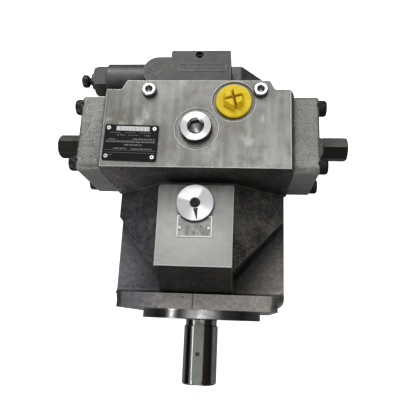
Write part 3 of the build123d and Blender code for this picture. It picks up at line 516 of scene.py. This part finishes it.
def bordered_metal(name, color, roughness, node, border):
    """Stamped thin plate: smudged, scratched metal with painted shade in its hollows and a painted highlight
    as a bright border round its edge.
    """
    surface = Surface(name, color, 0.85, roughness)
    low, high = box_mm(node)
    near_edge = []
    for axis, start, end in (("X", low.x, high.x), ("Y", low.y, high.y)):
        half = (end - start) / 2
        away = surface.off(axis, (start + end) / 2)
        near_edge.append(surface.step(away, half - border, half - 0.4 * border))
    smudge = surface.noise(6, 4, 0.6)
    surface.color = surface.mix(surface.step(smudge, 0.4, 0.7), scaled(color, 0.6), color)
    surface.layer(surface.step(surface.noise(0.9, 3), 0.5, 0.8, 0, 0.4), scaled(color, 1.6))
    # painted shade in hollows
    surface.layer(surface.hollow(3), (0.05, 0.045, 0.04), 0.8)
    # painted highlight round the edge
    surface.layer(surface.math("MAXIMUM", *near_edge), PAINTED_EDGE_HIGHLIGHT, 0.8)
    surface.rough = surface.step(smudge, 0.3, 0.8, roughness * 0.8, roughness * 1.3)
    surface.bump(smudge, 0.02)
    return surface.done()


def oxide(name, color=(0.016, 0.016, 0.017), roughness=0.38, rubbed=(0.16, 0.16, 0.155)):
    """Blackened steel, rubbed brighter along its edges."""
    surface = Surface(name, color, 0.6, roughness)
    smudge = surface.noise(6, 4)
    surface.layer(surface.step(smudge, 0.45, 0.75, 0, 0.5), scaled(color, 2.4))
    surface.layer(surface.edges(0.5), rubbed, 0.55)
    surface.rough = surface.step(smudge, 0.3, 0.8, roughness * 0.85, roughness * 1.3)
    surface.bump(surface.noise(0.8, 3, 0.6), 0.02)
    return surface.done()


def gleaming_wedges(surface, centre, gleam):
    """Two opposite painted wedges of light on a face-turned disc, with slightly ragged borders."""
    a = surface.math("SUBTRACT", surface.axes.outputs["X"], centre[0])
    b = surface.math("SUBTRACT", surface.axes.outputs["Y"], centre[1])
    angle = surface.math("SUBTRACT", surface.math("ARCTAN2", b, a), gleam)
    wedge = surface.math("COSINE", surface.math("MULTIPLY", angle, 2.0))
    ragged = surface.math("COSINE", surface.math("MULTIPLY", angle, 5.0))
    return surface.step(surface.math("MULTIPLY_ADD", ragged, 0.22, wedge), -0.6, 0.35)


def turned_disc(name, color, roughness, centre, spacing, gleam):
    """Bright face-turned metal: fine rings, two painted wedges of light at angle gleam, a painted highlight
    on the edges, and painted shade in hollows and on the sides that face right and forwards.
    """
    surface = Surface(name, color, 1.0, roughness)
    rings = surface.ripple(surface.distance(centre), spacing)
    surface.color = surface.mix(gleaming_wedges(surface, centre, gleam), scaled(color, 0.5), color)
    surface.layer(rings, scaled(color, 0.5), 0.20)
    surface.layer(surface.step(surface.noise(9, 3), 0.5, 0.8, 0, 0.25), scaled(color, 0.5))
    # painted highlight on the edges
    surface.layer(surface.edges(0.5), (0.98, 0.98, 0.97), 0.8)
    # painted shade in hollows
    surface.layer(surface.hollow(6), (0.03, 0.03, 0.028), 0.92)
    # painted shade on the sides that face right and forwards
    lit = surface.step(surface.math("SUBTRACT", surface.facing("Y"), surface.facing("X")), 0.2, 0.9)
    side = surface.mix(lit, (0.012, 0.012, 0.012), color)
    up = surface.step(surface.facing("Z"), 0.3, 0.55)
    surface.color = surface.mix(up, side, surface.color)
    surface.metal = surface.blend(up, surface.blend(lit, 0.2, 1.0), 1.0)
    surface.rough = surface.step(surface.noise(5, 3), 0.3, 0.7, roughness, roughness * 1.35)
    surface.bump(rings, 0.008)
    return surface.done()


def moulded(name, color, roughness=0.35, gloss=0.35):
    """Moulded plastic with a faint orange-peel skin and painted shade in its hollows."""
    surface = Surface(name, color, 0.0, roughness)
    surface.shader.inputs["Specular IOR Level"].default_value = gloss
    surface.color = surface.mix(surface.step(surface.noise(7, 3), 0.35, 0.75), scaled(color, 0.86), color)
    # painted shade in hollows, in a dark orange
    painted_hollow_shade = (color[0] * 0.55, color[1] * 0.30, color[2] * 0.3)
    surface.layer(surface.hollow(4), painted_hollow_shade, 0.7)
    surface.rough = surface.step(surface.noise(3, 2), 0.3, 0.7, roughness, roughness * 1.3)
    surface.bump(surface.noise(1.1, 2), 0.03)
    surface.shader.inputs["Subsurface Weight"].default_value = 0.12
    surface.shader.inputs["Subsurface Radius"].default_value = (0.002, 0.0014, 0.0004)
    return surface.done()


def printed(name, color, roughness=0.45):
    """Ink or paint with slightly uneven cover."""
    surface = Surface(name, color, 0.0, roughness)
    surface.color = surface.mix(surface.step(surface.noise(2.5, 3), 0.4, 0.8, 0, 0.3), color,
                                tuple(c * 0.7 + 0.02 for c in color))
    surface.bump(surface.noise(0.7, 2), 0.01)
    return surface.done()


DISC_CENTRE = (centre_mm("indicator_disc").x, centre_mm("indicator_disc").y)
PLUG_CENTRE = (centre_mm("centre_plug").x, centre_mm("centre_plug").y)
# rim is the share of painted edge highlight; front is the share of colour that painted shade leaves on
# forward faces
LOOKS = {
    "cast_iron": housing_iron(),
    "port_casting": cast_iron("port_casting", (0.040, 0.040, 0.039), (0.075, 0.074, 0.070)),
    "cast_cover": pitted_iron("cover_casting", (0.088, 0.087, 0.081), (0.175, 0.172, 0.160)),
    "valve_casting": cast_iron("valve_casting", (0.027, 0.028, 0.026), (0.045, 0.047, 0.042), 0.09,
                               metallic=0.3, painted_top_light=0.32, rust=0.12),
    "black_steel": oxide("black_steel"),
    "dark_steel": cast_iron("phosphated_steel", (0.050, 0.052, 0.048), (0.070, 0.073, 0.067), 0.04,
                            metallic=0.15, painted_top_light=0.3, rust=0.1),
    "cap_steel": worked_metal("cap_steel", (0.30, 0.305, 0.27), 0.36, 0.12, rim=0.25, front=0.14),
    "dark_screw": oxide("dark_screw", (0.030, 0.031, 0.028), 0.36, (0.20, 0.20, 0.19)),
    "zinc_steel": worked_metal("zinc_steel", (0.74, 0.76, 0.75), 0.28, rim=0.7, front=0.3),
    "ground_steel": worked_metal("ground_steel", (0.50, 0.49, 0.48), 0.22, 0.15, grain=(1, 40, 1)),
    "shaft_steel": worked_metal("shaft_steel", (0.55, 0.54, 0.52), 0.10, 0.10, grain=(8, 1, 8), rim=0.3,
                                bands=True),
    "key_steel": worked_metal("key_steel", (0.30, 0.32, 0.29), 0.42, 0.7, metallic=0.8, rim=0.3),
    "cradle_iron": worked_metal("cradle_iron", (0.34, 0.33, 0.32), 0.4, 0.2),
    "bronze": worked_metal("bronze", (0.55, 0.37, 0.17), 0.3, 0.2),
    "spring_steel": worked_metal("spring_steel", (0.25, 0.25, 0.26), 0.33, 0.2),
    "seal_rubber": moulded("seal_rubber", (0.015, 0.015, 0.015), 0.55),
    "ring_plastic": moulded("ring_plastic", (0.09, 0.085, 0.08), 0.4),
    "copper": worked_metal("copper", (0.30, 0.18, 0.12), 0.35, 0.2),
    "aluminium": turned_disc("turned_aluminium", (0.86, 0.87, 0.88), 0.3, DISC_CENTRE, 0.8, radians(-66)),
    "scale_metal": bordered_metal("scale_metal", (0.42, 0.42, 0.395), 0.36, "scale_plate", 1.5),
    "plate_black": moulded("plate_black", (0.006, 0.006, 0.007), 0.42, 0.12),
    "rivet_steel": worked_metal("rivet_steel", (0.80, 0.80, 0.79), 0.30, metallic=0.75),
    "yellow_plastic": moulded("yellow_plastic", (0.83, 0.60, 0.004), 0.42),
    "white_print": printed("white_print", (0.62, 0.62, 0.60)),
    "grey_print": printed("grey_print", (0.17, 0.18, 0.18)),
    "black_print": printed("black_print", (0.008, 0.008, 0.008), 0.4),
    "plug_face": turned_disc("plug_face", (0.56, 0.57, 0.565), 0.3, PLUG_CENTRE, 0.9, radians(-80)),
}
SLOT_OF = {part["node"]: part["material_slot"] for part in frame["record"]["subparts"]}
NODE_LOOKS = {"port_plate": "port_casting", "drive_shaft": "shaft_steel", "scale_plate": "scale_metal",
              "stop_caps": "cap_steel", "valve_lock_nut": "dark_screw"}
ROUNDED = {"housing": 1.1, "port_plate": 1.2, "cover_left": 0.9, "cover_right": 0.9, "valve_body": 0.9,
           "name_plate": 0.12, "scale_plate": 0.15, "indicator_disc": 0.5, "shaft_key": 0.5}


def soften(piece, radius):
    """Round a piece's sharp edges by radius millimetres."""
    weld = piece.modifiers.new("weld", "WELD")
    weld.merge_threshold = 0.00001
    bevel = piece.modifiers.new("bevel", "BEVEL")
    bevel.width = radius * MM
    bevel.segments = 2
    bevel.limit_method = "ANGLE"
    bevel.angle_limit = radians(28)
    bevel.harden_normals = False
    even = piece.modifiers.new("even", "WEIGHTED_NORMAL")
    even.keep_sharp = True


for node, piece in NODES.items():
    look = LOOKS[NODE_LOOKS.get(node, SLOT_OF[node])]
    piece.data.materials.clear()
    piece.data.materials.append(look)
    if node in ROUNDED:
        soften(piece, ROUNDED[node])


# ---------------------------------------------------------------- mesh helpers
RING = 72
PLANES = {"x": ((0, 1, 0), (0, 0, 1), (1, 0, 0)), "y": ((0, 0, 1), (1, 0, 0), (0, 1, 0)),
          "z": ((1, 0, 0), (0, 1, 0), (0, 0, 1))}


def placed(axis, place, out=1.0, turn=0.0):
    """Matrix that stands a shape, drawn along its own z in millimetres, at place and along out times axis."""
    a, b, c = (Vector(v) for v in PLANES[axis])
    if out < 0:
        a, c = -a, -c
    frame_matrix = Matrix((a, b, c)).transposed().to_4x4()
    return Matrix.Scale(MM, 4) @ Matrix.Translation(place) @ frame_matrix @ Matrix.Rotation(turn, 4, "Z")


def ring_radius(shape, radius, index):
    """Radius of a ring's point: round, hexagonal (radius is half the flats) or knurled."""
    if shape == "hex":
        angle = (2 * pi * index / RING) % (pi / 3) - pi / 6
        return radius / cos(angle)
    if shape == "knurl" and index % 2:
        return radius - 0.32
    return radius


def spin(bm, profile, matrix):
    """Skin a stack of rings, each given as shape, radius and height."""
    rings = []
    for shape, radius, height in profile:
        if radius == 0:
            rings.append([bm.verts.new(matrix @ Vector((0, 0, height)))])
            continue
        spots = []
        for index in range(RING):
            r = ring_radius(shape, radius, index)
            angle = 2 * pi * index / RING
            spots.append(bm.verts.new(matrix @ Vector((r * cos(angle), r * sin(angle), height))))
        rings.append(spots)
    for low, high in zip(rings, rings[1:]):
        for index in range(RING):
            after = (index + 1) % RING
            if len(low) == 1:
                bm.faces.new((low[0], high[after], high[index]))
            elif len(high) == 1:
                bm.faces.new((low[index], low[after], high[0]))
            else:
                bm.faces.new((low[index], low[after], high[after], high[index]))


def slab(bm, bottom, top, z0, z1, matrix):
    """Solid between a bottom and a top outline with the same number of points."""
    low = [bm.verts.new(matrix @ Vector((x, y, z0))) for x, y in bottom]
    high = [bm.verts.new(matrix @ Vector((x, y, z1))) for x, y in top]
    bm.faces.new(list(reversed(low)))
    bm.faces.new(high)
    for index in range(len(low)):
        after = (index + 1) % len(low)
        bm.faces.new((low[index], low[after], high[after], high[index]))


def bar(bm, x0, x1, y0, y1, z0, z1, matrix):
    """Flat bar between two corners."""
    outline = [(x0, y0), (x1, y0), (x1, y1), (x0, y1)]
    slab(bm, outline, outline, z0, z1, matrix)


def stroke(bm, start, end, width, z0, z1, matrix):
    """Straight printed line from start to end."""
    along = Vector(end) - Vector(start)
    side = Vector((-along.y, along.x)).normalized() * width / 2
    outline = [Vector(start) - side, Vector(end) - side, Vector(end) + side, Vector(start) + side]
    slab(bm, outline, outline, z0, z1, matrix)


def finish_piece(name, bm, look, body, replaced=(), rounding=0.0):
    """Turn a bmesh into an object that rides on a body, with its sharp edges kept sharp."""
    bmesh.ops.recalc_face_normals(bm, faces=bm.faces)
    for edge in bm.edges:
        edge.smooth = edge.calc_face_angle(0.0) < radians(32)
    for face in bm.faces:
        face.smooth = True
    mesh = bpy.data.meshes.new(name)
    bm.to_mesh(mesh)
    bm.free()
    piece = bpy.data.objects.new(name, mesh)
    bpy.context.scene.collection.objects.link(piece)
    piece.data.materials.append(LOOKS[look])
    if rounding:
        soften(piece, rounding)
    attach(piece, body)
    if replaced:
        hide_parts(*replaced)
    return piece


# ---------------------------------------------------------------- fasteners
def cap_screw(bm, axis, place, out, head, height, flats, shank, length, turn):
    """Socket cap screw with a knurled head, a chamfered rim and a hexagon socket."""
    rim = 0.11 * head
    half = flats / 2
    profile = [("round", 0, -length), ("round", shank - 0.6, -length), ("round", shank, 0.8 - length),
               ("round", shank, -0.02), ("round", head - 0.5, -0.02), ("knurl", head, 0.5),
               ("knurl", head, height - 2.6 * rim), ("round", head - 0.25, height - 1.6 * rim),
               ("round", head - rim, height - 0.25 * rim), ("round", head - 1.7 * rim, height),
               ("round", half + 0.75, height), ("round", half + 0.45, height - 0.35),
               ("hex", half, height - 0.8), ("hex", half, height * 0.48),
               ("round", half * 0.6, height * 0.42), ("round", 0, height * 0.3)]
    spin(bm, profile, placed(axis, place, out, turn))


def screw_set(name, node, axis, spots, head, height, flats, shank, length):
    """Several cap screws as one piece in place of a CAD node; spots hold a place, a direction and a turn."""
    bm = bmesh.new()
    for place, out, turn in spots:
        cap_screw(bm, axis, place, out, head, height, flats, shank, length, turn)
    finish_piece(name, bm, "black_steel", "case", (node,))


def add_cover_screws():
    low, high = box_mm("cover_screws")
    radius, height = 8.0, 10.0
    spots = []
    for side in (-1, 1):
        for i, y in enumerate((low.y + radius, high.y - radius)):
            for j, z in enumerate((low.z + radius, high.z - radius)):
                spots.append(((side * (high.x - height), y, z), side, 0.5 * i + 0.9 * j + 0.3 * side))
    screw_set("cover_screw_heads", "cover_screws", "x", spots, radius, height, 8.0, 5.0, 38.0)


def add_plate_screws():
    low, high = box_mm("port_plate_screws")
    radius, height = 10.5, 14.0
    spots = []
    for i, x in enumerate((low.x + radius, high.x - radius)):
        for j, z in enumerate((low.z + radius, high.z - radius)):
            spots.append(((x, high.y - height, z), 1, 0.4 * i + 0.7 * j))
    screw_set("port_plate_screw_heads", "port_plate_screws", "y", spots, radius, height, 12.0, 7.0, 76.0)


def add_adjusting_screw():
    """Adjusting screw with a turned, grooved head and its thread."""
    low, high = box_mm("adjusting_screw")
    centre = centre_mm("adjusting_screw")
    profile = [("round", 0, 0), ("round", 3.2, 0), ("round", 3.2, 0.5), ("round", 5.9, 0.5),
               ("round", 6.9, 1.6), ("round", 6.9, 4.0), ("round", 6.2, 4.3), ("round", 6.2, 4.9),
               ("round", 6.8, 5.2), ("round", 6.8, 5.8), ("round", 5.6, 6.1), ("round", 5.6, 6.6),
               ("round", 5.0, 7.2)]
    length = high.x - low.x
    height = 7.6
    while height < length - 0.6:
        profile += [("round", 3.4, height), ("round", 3.95, height + 0.5)]
        height += 1.0
    profile += [("round", 3.2, length), ("round", 0, length)]
    bm = bmesh.new()
    spin(bm, profile, placed("x", (low.x, centre.y, centre.z)))
    finish_piece("adjusting_screw_thread", bm, "dark_screw", "setting_screw", ("adjusting_screw",))


# ---------------------------------------------------------------- yellow cap
CAP_TURN = radians(15.0)
GRIP_TURN = radians(92.0)


def clipped(points, normal, offset):
    """Part of a convex outline that lies beyond a line."""
    kept = []
    for a, b in zip(points, points[1:] + points[:1]):
        da, db = a.dot(normal) - offset, b.dot(normal) - offset
        if da >= 0:
            kept.append(a)
        if da * db < 0:
            kept.append(a + (b - a) * (da / (da - db)))
    return kept


def grip_quarter(radius, gap, quarter):
    """Outline of one of the four blocks that a cross slot leaves of a hexagonal grip."""
    outline = [Vector((radius * cos(GRIP_TURN + i * pi / 3), radius * sin(GRIP_TURN + i * pi / 3)))
               for i in range(6)]
    for turn in (CAP_TURN + quarter * pi / 2, CAP_TURN + (quarter + 1) * pi / 2):
        outline = clipped(outline, Vector((cos(turn), sin(turn))), gap)
    return outline


def add_cap():
    """Moulded cap with a thick round rim and a slotted hexagonal grip."""
    low, high = box_mm("port_cap")
    centre = centre_mm("port_cap")
    radius = (high.x - low.x) / 2
    seat = box_mm("housing")[1].z - 1.9
    base = placed("z", (centre.x, centre.y, seat))
    profile = [("round", 0, -9.5), ("round", 12.0, -9.5), ("round", 12.7, -9.0), ("round", 12.7, 0),
               ("round", radius - 0.4, 0), ("round", radius, 0.5), ("round", radius, 2.6),
               ("round", radius - 0.35, 3.3), ("round", radius - 1.1, 3.7), ("round", radius - 2.2, 3.75),
               ("round", 12.6, 3.45), ("round", 0, 3.4)]
    bm = bmesh.new()
    spin(bm, profile, base)
    for quarter in range(4):
        slab(bm, grip_quarter(11.2, 0.8, quarter), grip_quarter(9.2, 1.35, quarter), 3.2, 11.6, base)
    finish_piece("cap_with_grip", bm, "yellow_plastic", "case", ("port_cap",), 0.55)


# ---------------------------------------------------------------- plates and marks
PRINT_HIGH = 0.12


def add_pointer():
    """Black wedge that points from the disc's screw to the scale."""
    centre = centre_mm("indicator_disc")
    top = box_mm("indicator_disc")[1].z
    bm = bmesh.new()
    outline = [(-2.3, -5.9), (0.1, -16.9), (0.5, -16.9), (2.3, -5.6)]
    slab(bm, outline, outline, 0.0, PRINT_HIGH, placed("z", (centre.x, centre.y, top), 1.0, radians(7.0)))
    finish_piece("pointer", bm, "black_print", "tilting_cradle")


DIGITS = {"0": [(0, 0, 1, 0), (1, 0, 1, 2), (1, 2, 0, 2), (0, 2, 0, 0)], "1": [(0.6, 0, 0.6, 2)],
          "5": [(1, 2, 0, 2), (0, 2, 0, 1), (0, 1, 1, 1), (1, 1, 1, 0), (1, 0, 0, 0)]}


def add_scale():
    """Fan of angle marks and the numbers under them."""
    centre = centre_mm("indicator_disc")
    top = box_mm("scale_plate")[1].z
    matrix = placed("z", (centre.x, centre.y, top))
    bm = bmesh.new()
    for index in range(7):
        angle = radians(-15 + 5 * index)
        start, end = (21.6, 25.6 if index % 3 == 0 else 24.6)
        stroke(bm, (sin(angle) * start, -cos(angle) * start), (sin(angle) * end, -cos(angle) * end), 0.32,
               0, PRINT_HIGH, matrix)
    for text, middle in (("15", -7.6), ("0", 0.0), ("15", 7.6)):
        for place, digit in enumerate(text):
            x = middle + 1.9 * (place - (len(text) - 1) / 2) + 0.55
            for x0, y0, x1, y1 in DIGITS[digit]:
                start = (x - 1.1 * x0, -28.2 - 1.1 * y0)
                end = (x - 1.1 * x1, -28.2 - 1.1 * y1)
                stroke(bm, start, end, 0.3, 0, PRINT_HIGH, matrix)
    finish_piece("scale_marks", bm, "black_print", "case")


def add_centre_plug():
    """Screw plug with a chamfered, face-turned collar and a chamfered socket."""
    low, high = box_mm("centre_plug")
    centre = centre_mm("centre_plug")
    radius = (high.x - low.x) / 2
    seat = box_mm("centre_plug_seal")[1].z
    top = high.z - seat
    profile = [("round", 0, low.z - seat), ("round", 12.6, low.z - seat), ("round", 13.4, low.z - seat + 0.9),
               ("round", 13.4, 0.0), ("round", radius - 0.3, 0.0), ("round", radius, 0.3),
               ("round", radius, top - 2.0), ("round", radius - 0.5, top - 0.35),
               ("round", radius - 0.8, top), ("round", 8.3, top), ("round", 7.8, top - 0.4),
               ("hex", 6.2, top - 1.6), ("hex", 6.2, top - 8.0), ("round", 4.5, top - 9.0),
               ("round", 0, top - 10.5)]
    bm = bmesh.new()
    spin(bm, profile, placed("z", (centre.x, centre.y, seat), 1.0, 0.2))
    finish_piece("centre_plug_turned", bm, "plug_face", "case", ("centre_plug",))


def add_small_plugs():
    """Two zinc-plated plugs with chamfered collars and deep sockets."""
    low, high = box_mm("small_plugs")
    radius = 7.0
    y_low, y_high = low.y + radius, high.y - radius
    seat = box_mm("housing")[1].z
    top = high.z - seat
    profile = [("round", 0, -9.0), ("round", 4.6, -9.0), ("round", 4.95, -8.5), ("round", 4.95, 0.03),
               ("round", radius - 0.2, 0.03), ("round", radius, 0.3), ("round", radius, top - 0.8),
               ("round", radius - 0.8, top), ("round", 3.9, top), ("round", 3.5, top - 0.4),
               ("hex", 3.0, top - 0.9), ("hex", 3.0, top - 4.5), ("round", 2.0, top - 5.0),
               ("round", 0, top - 5.6)]
    bm = bmesh.new()
    for x, y, turn in ((low.x + radius, y_low, 0.3), (high.x - radius, y_high, 0.9)):
        spin(bm, profile, placed("z", (x, y, seat), 1.0, turn))
    finish_piece("small_plugs_turned", bm, "zinc_steel", "case", ("small_plugs",))


def add_indicator_screw():
    """Button-head screw that holds the disc."""
    low, high = box_mm("indicator_screw")
    centre = centre_mm("indicator_screw")
    seat = box_mm("indicator_disc")[1].z + 0.02
    height = high.z - seat
    profile = [("round", 0, low.z - seat), ("round", 2.9, low.z - seat), ("round", 2.9, 0), ("round", 4.7, 0),
               ("round", 5.0, 0.3), ("knurl", 5.0, height - 0.8), ("round", 4.5, height - 0.2),
               ("round", 4.1, height), ("round", 2.8, height), ("round", 2.5, height - 0.3),
               ("hex", 2.0, height - 0.6), ("hex", 2.0, height - 1.6), ("round", 0, height - 1.9)]
    bm = bmesh.new()
    spin(bm, profile, placed("z", (centre.x, centre.y, seat), 1.0, 0.5))
    finish_piece("indicator_screw_head", bm, "black_steel", "tilting_cradle", ("indicator_screw",))


PLATE_TURN = radians(-1.4)
PLATE_ROWS = [(-20.5, -10.0, 10.0, 0.55), (-6.0, 3.5, 10.2, 0.5), (8.0, 19.0, 10.2, 0.5),
              (-14.0, -6.0, 7.6, 0.7), (-3.0, 8.0, 7.6, 0.5), (13.0, 18.0, 7.4, 0.9),
              (2.0, 23.0, 3.6, 1.2), (-22.0, -15.0, 3.2, 0.9), (-24.0, 24.0, 0.6, 1.1),
              (-6.0, 11.0, -2.4, 1.2), (-16.0, -3.0, -6.2, 1.2), (1.0, 21.0, -6.4, 1.0),
              (-22.0, -17.0, -12.6, 0.6)]
PLATE_RULES = [(-24.5, 24.5, 1.9), (-24.5, 24.5, -8.0), (-24.5, 24.5, -10.4)]


def add_plate_print():
    """White field with bars, thin rules and greyed-out rows without any letters on the data plate."""
    centre = centre_mm("name_plate")
    top = box_mm("name_plate")[1].z
    matrix = placed("z", (centre.x, centre.y, top), 1.0, PLATE_TURN)
    bm = bmesh.new()
    bar(bm, -15.0, 17.2, 12.2, 16.7, 0, PRINT_HIGH, matrix)
    finish_piece("plate_field", bm, "white_print", "case")
    bm = bmesh.new()
    x, index = -13.4, 0
    while x < 16.2:
        width = (0.28, 0.5, 0.34, 0.22, 0.6)[index % 5]
        bar(bm, x, x + width, 12.7, 16.2, PRINT_HIGH, PRINT_HIGH + 0.04, matrix)
        x += width + (1.5, 0.9, 2.1, 1.2)[index % 4]
        index += 1
    for x0, x1, y, height in PLATE_ROWS:
        x, index = x0, int(abs(10 * y))
        while x < x1:
            width = (0.9, 1.3, 0.5, 1.1, 0.7)[index % 5] * (0.6 + 0.5 * height)
            bar(bm, x, min(x + width, x1), y - height / 2, y + height / 2, 0, PRINT_HIGH, matrix)
            x += width + (0.45, 0.35, 0.9)[index % 3]
            index += 1
    for x0, x1, y in PLATE_RULES:
        bar(bm, x0, x1, y - 0.11, y + 0.11, 0, PRINT_HIGH, matrix)
    finish_piece("plate_rows", bm, "grey_print", "case")


add_centre_plug()
add_small_plugs()
add_indicator_screw()
add_cover_screws()
add_plate_screws()
add_adjusting_screw()
add_cap()
add_pointer()
add_scale()
add_plate_print()


# ---------------------------------------------------------------- camera, light and floor
CAMERA_PLACE = Vector((46.2, -12.6, 546.5)) * MM
CAMERA_TURN = {"Z": -2.31, "X": -14.28, "Y": -4.32}
FOCAL_SHARE = 442.35 / 420


def add_camera():
    """Camera above the pump, tipped slightly towards the port plate."""
    turn = Matrix.Identity(3)
    for axis, angle in CAMERA_TURN.items():
        turn = turn @ Matrix.Rotation(radians(angle), 3, axis)
    camera = bpy.data.cameras.new("camera")
    camera.sensor_width = 36.0
    camera.lens = 36.0 * FOCAL_SHARE
    camera.clip_start = 0.01
    holder = bpy.data.objects.new("camera", camera)
    holder.matrix_world = Matrix.Translation(CAMERA_PLACE) @ turn.transposed().to_4x4()
    bpy.context.scene.collection.objects.link(holder)
    bpy.context.scene.camera = holder


def add_lamp(name, place, aim, size, power, mirrored=True):
    """Rectangular lamp at place, pointing at aim; metres and watts; mirrored lamps show in bright metal."""
    lamp = bpy.data.lights.new(name, "AREA")
    lamp.shape = "RECTANGLE"
    lamp.size, lamp.size_y = size
    lamp.energy = power
    holder = bpy.data.objects.new(name, lamp)
    direction = Vector(aim) - Vector(place)
    holder.rotation_euler = direction.to_track_quat("-Z", "Y").to_euler()
    holder.location = place
    holder.visible_glossy = mirrored
    bpy.context.scene.collection.objects.link(holder)


def add_world():
    """Soft surroundings: bright overhead, dark low down all round."""
    world = bpy.data.worlds.new("studio")
    world.use_nodes = True
    tree = world.node_tree
    place = tree.nodes.new("ShaderNodeTexCoord")
    split = tree.nodes.new("ShaderNodeSeparateXYZ")
    tree.links.new(place.outputs["Generated"], split.inputs[0])
    height = tree.nodes.new("ShaderNodeMapRange")
    tree.links.new(split.outputs["Z"], height.inputs[0])
    height.inputs["From Min"].default_value = -0.1
    height.inputs["From Max"].default_value = 0.95
    height.inputs["To Min"].default_value = 0.04
    height.inputs["To Max"].default_value = 0.42
    tree.links.new(height.outputs[0], tree.nodes["Background"].inputs["Strength"])
    tree.nodes["Background"].inputs["Color"].default_value = (0.97, 0.98, 1.0, 1.0)
    bpy.context.scene.world = world


def add_floor():
    """Pale floor that the camera sees as white; other rays see it dimmer, which keeps the sides dark."""
    low = CAD_BOX[0][2]
    mesh = bpy.data.meshes.new("floor")
    reach = 6.0
    mesh.from_pydata([(-reach, -reach, low), (reach, -reach, low), (reach, reach, low), (-reach, reach, low)],
                     [], [(0, 1, 2, 3)])
    floor = bpy.data.objects.new("floor", mesh)
    bpy.context.scene.collection.objects.link(floor)
    surface = Surface("floor", (0.9, 0.9, 0.9), 0.0, 0.7)
    seen = surface.add("ShaderNodeLightPath").outputs["Is Camera Ray"]
    pale = surface.mix(surface.step(surface.noise(90, 2), 0.3, 0.7), (0.90, 0.90, 0.895), (0.93, 0.93, 0.925))
    surface.color = surface.mix(seen, (0.20, 0.20, 0.20), pale)
    surface.shader.inputs["Emission Color"].default_value = (1, 1, 1, 1)
    surface.plug(surface.math("MULTIPLY", seen, 0.8), surface.shader.inputs["Emission Strength"])
    floor.data.materials.append(surface.done())


add_camera()
add_world()
add_floor()
add_lamp("key", (-0.50, 1.25, 1.15), (0, 0.1, 0.1), (0.5, 0.5), 9)
add_lamp("ceiling", (0.05, 0.75, 1.35), (0, 0.1, 0.1), (0.8, 0.6), 4.0)
add_lamp("fill", (0.95, 0.05, 0.85), (0, 0.1, 0.1), (0.5, 0.5), 4.0, mirrored=False)
add_lamp("rear", (0.6, 1.3, 0.30), (0, 0.2, 0.1), (0.6, 0.4), 4.0, mirrored=False)
add_lamp("left", (-0.9, -0.8, 0.45), (0, 0.1, 0.1), (0.5, 0.5), 6)
add_lamp("left_strip", (-0.82, -0.12, 0.64), (0, -0.04, 0.02), (0.6, 0.07), 0.35)
add_lamp("top_strip", (0.14, -0.11, 1.25), (0, -0.04, 0.02), (0.07, 0.30), 0.30)
bpy.context.scene.view_settings.view_transform = "Standard"
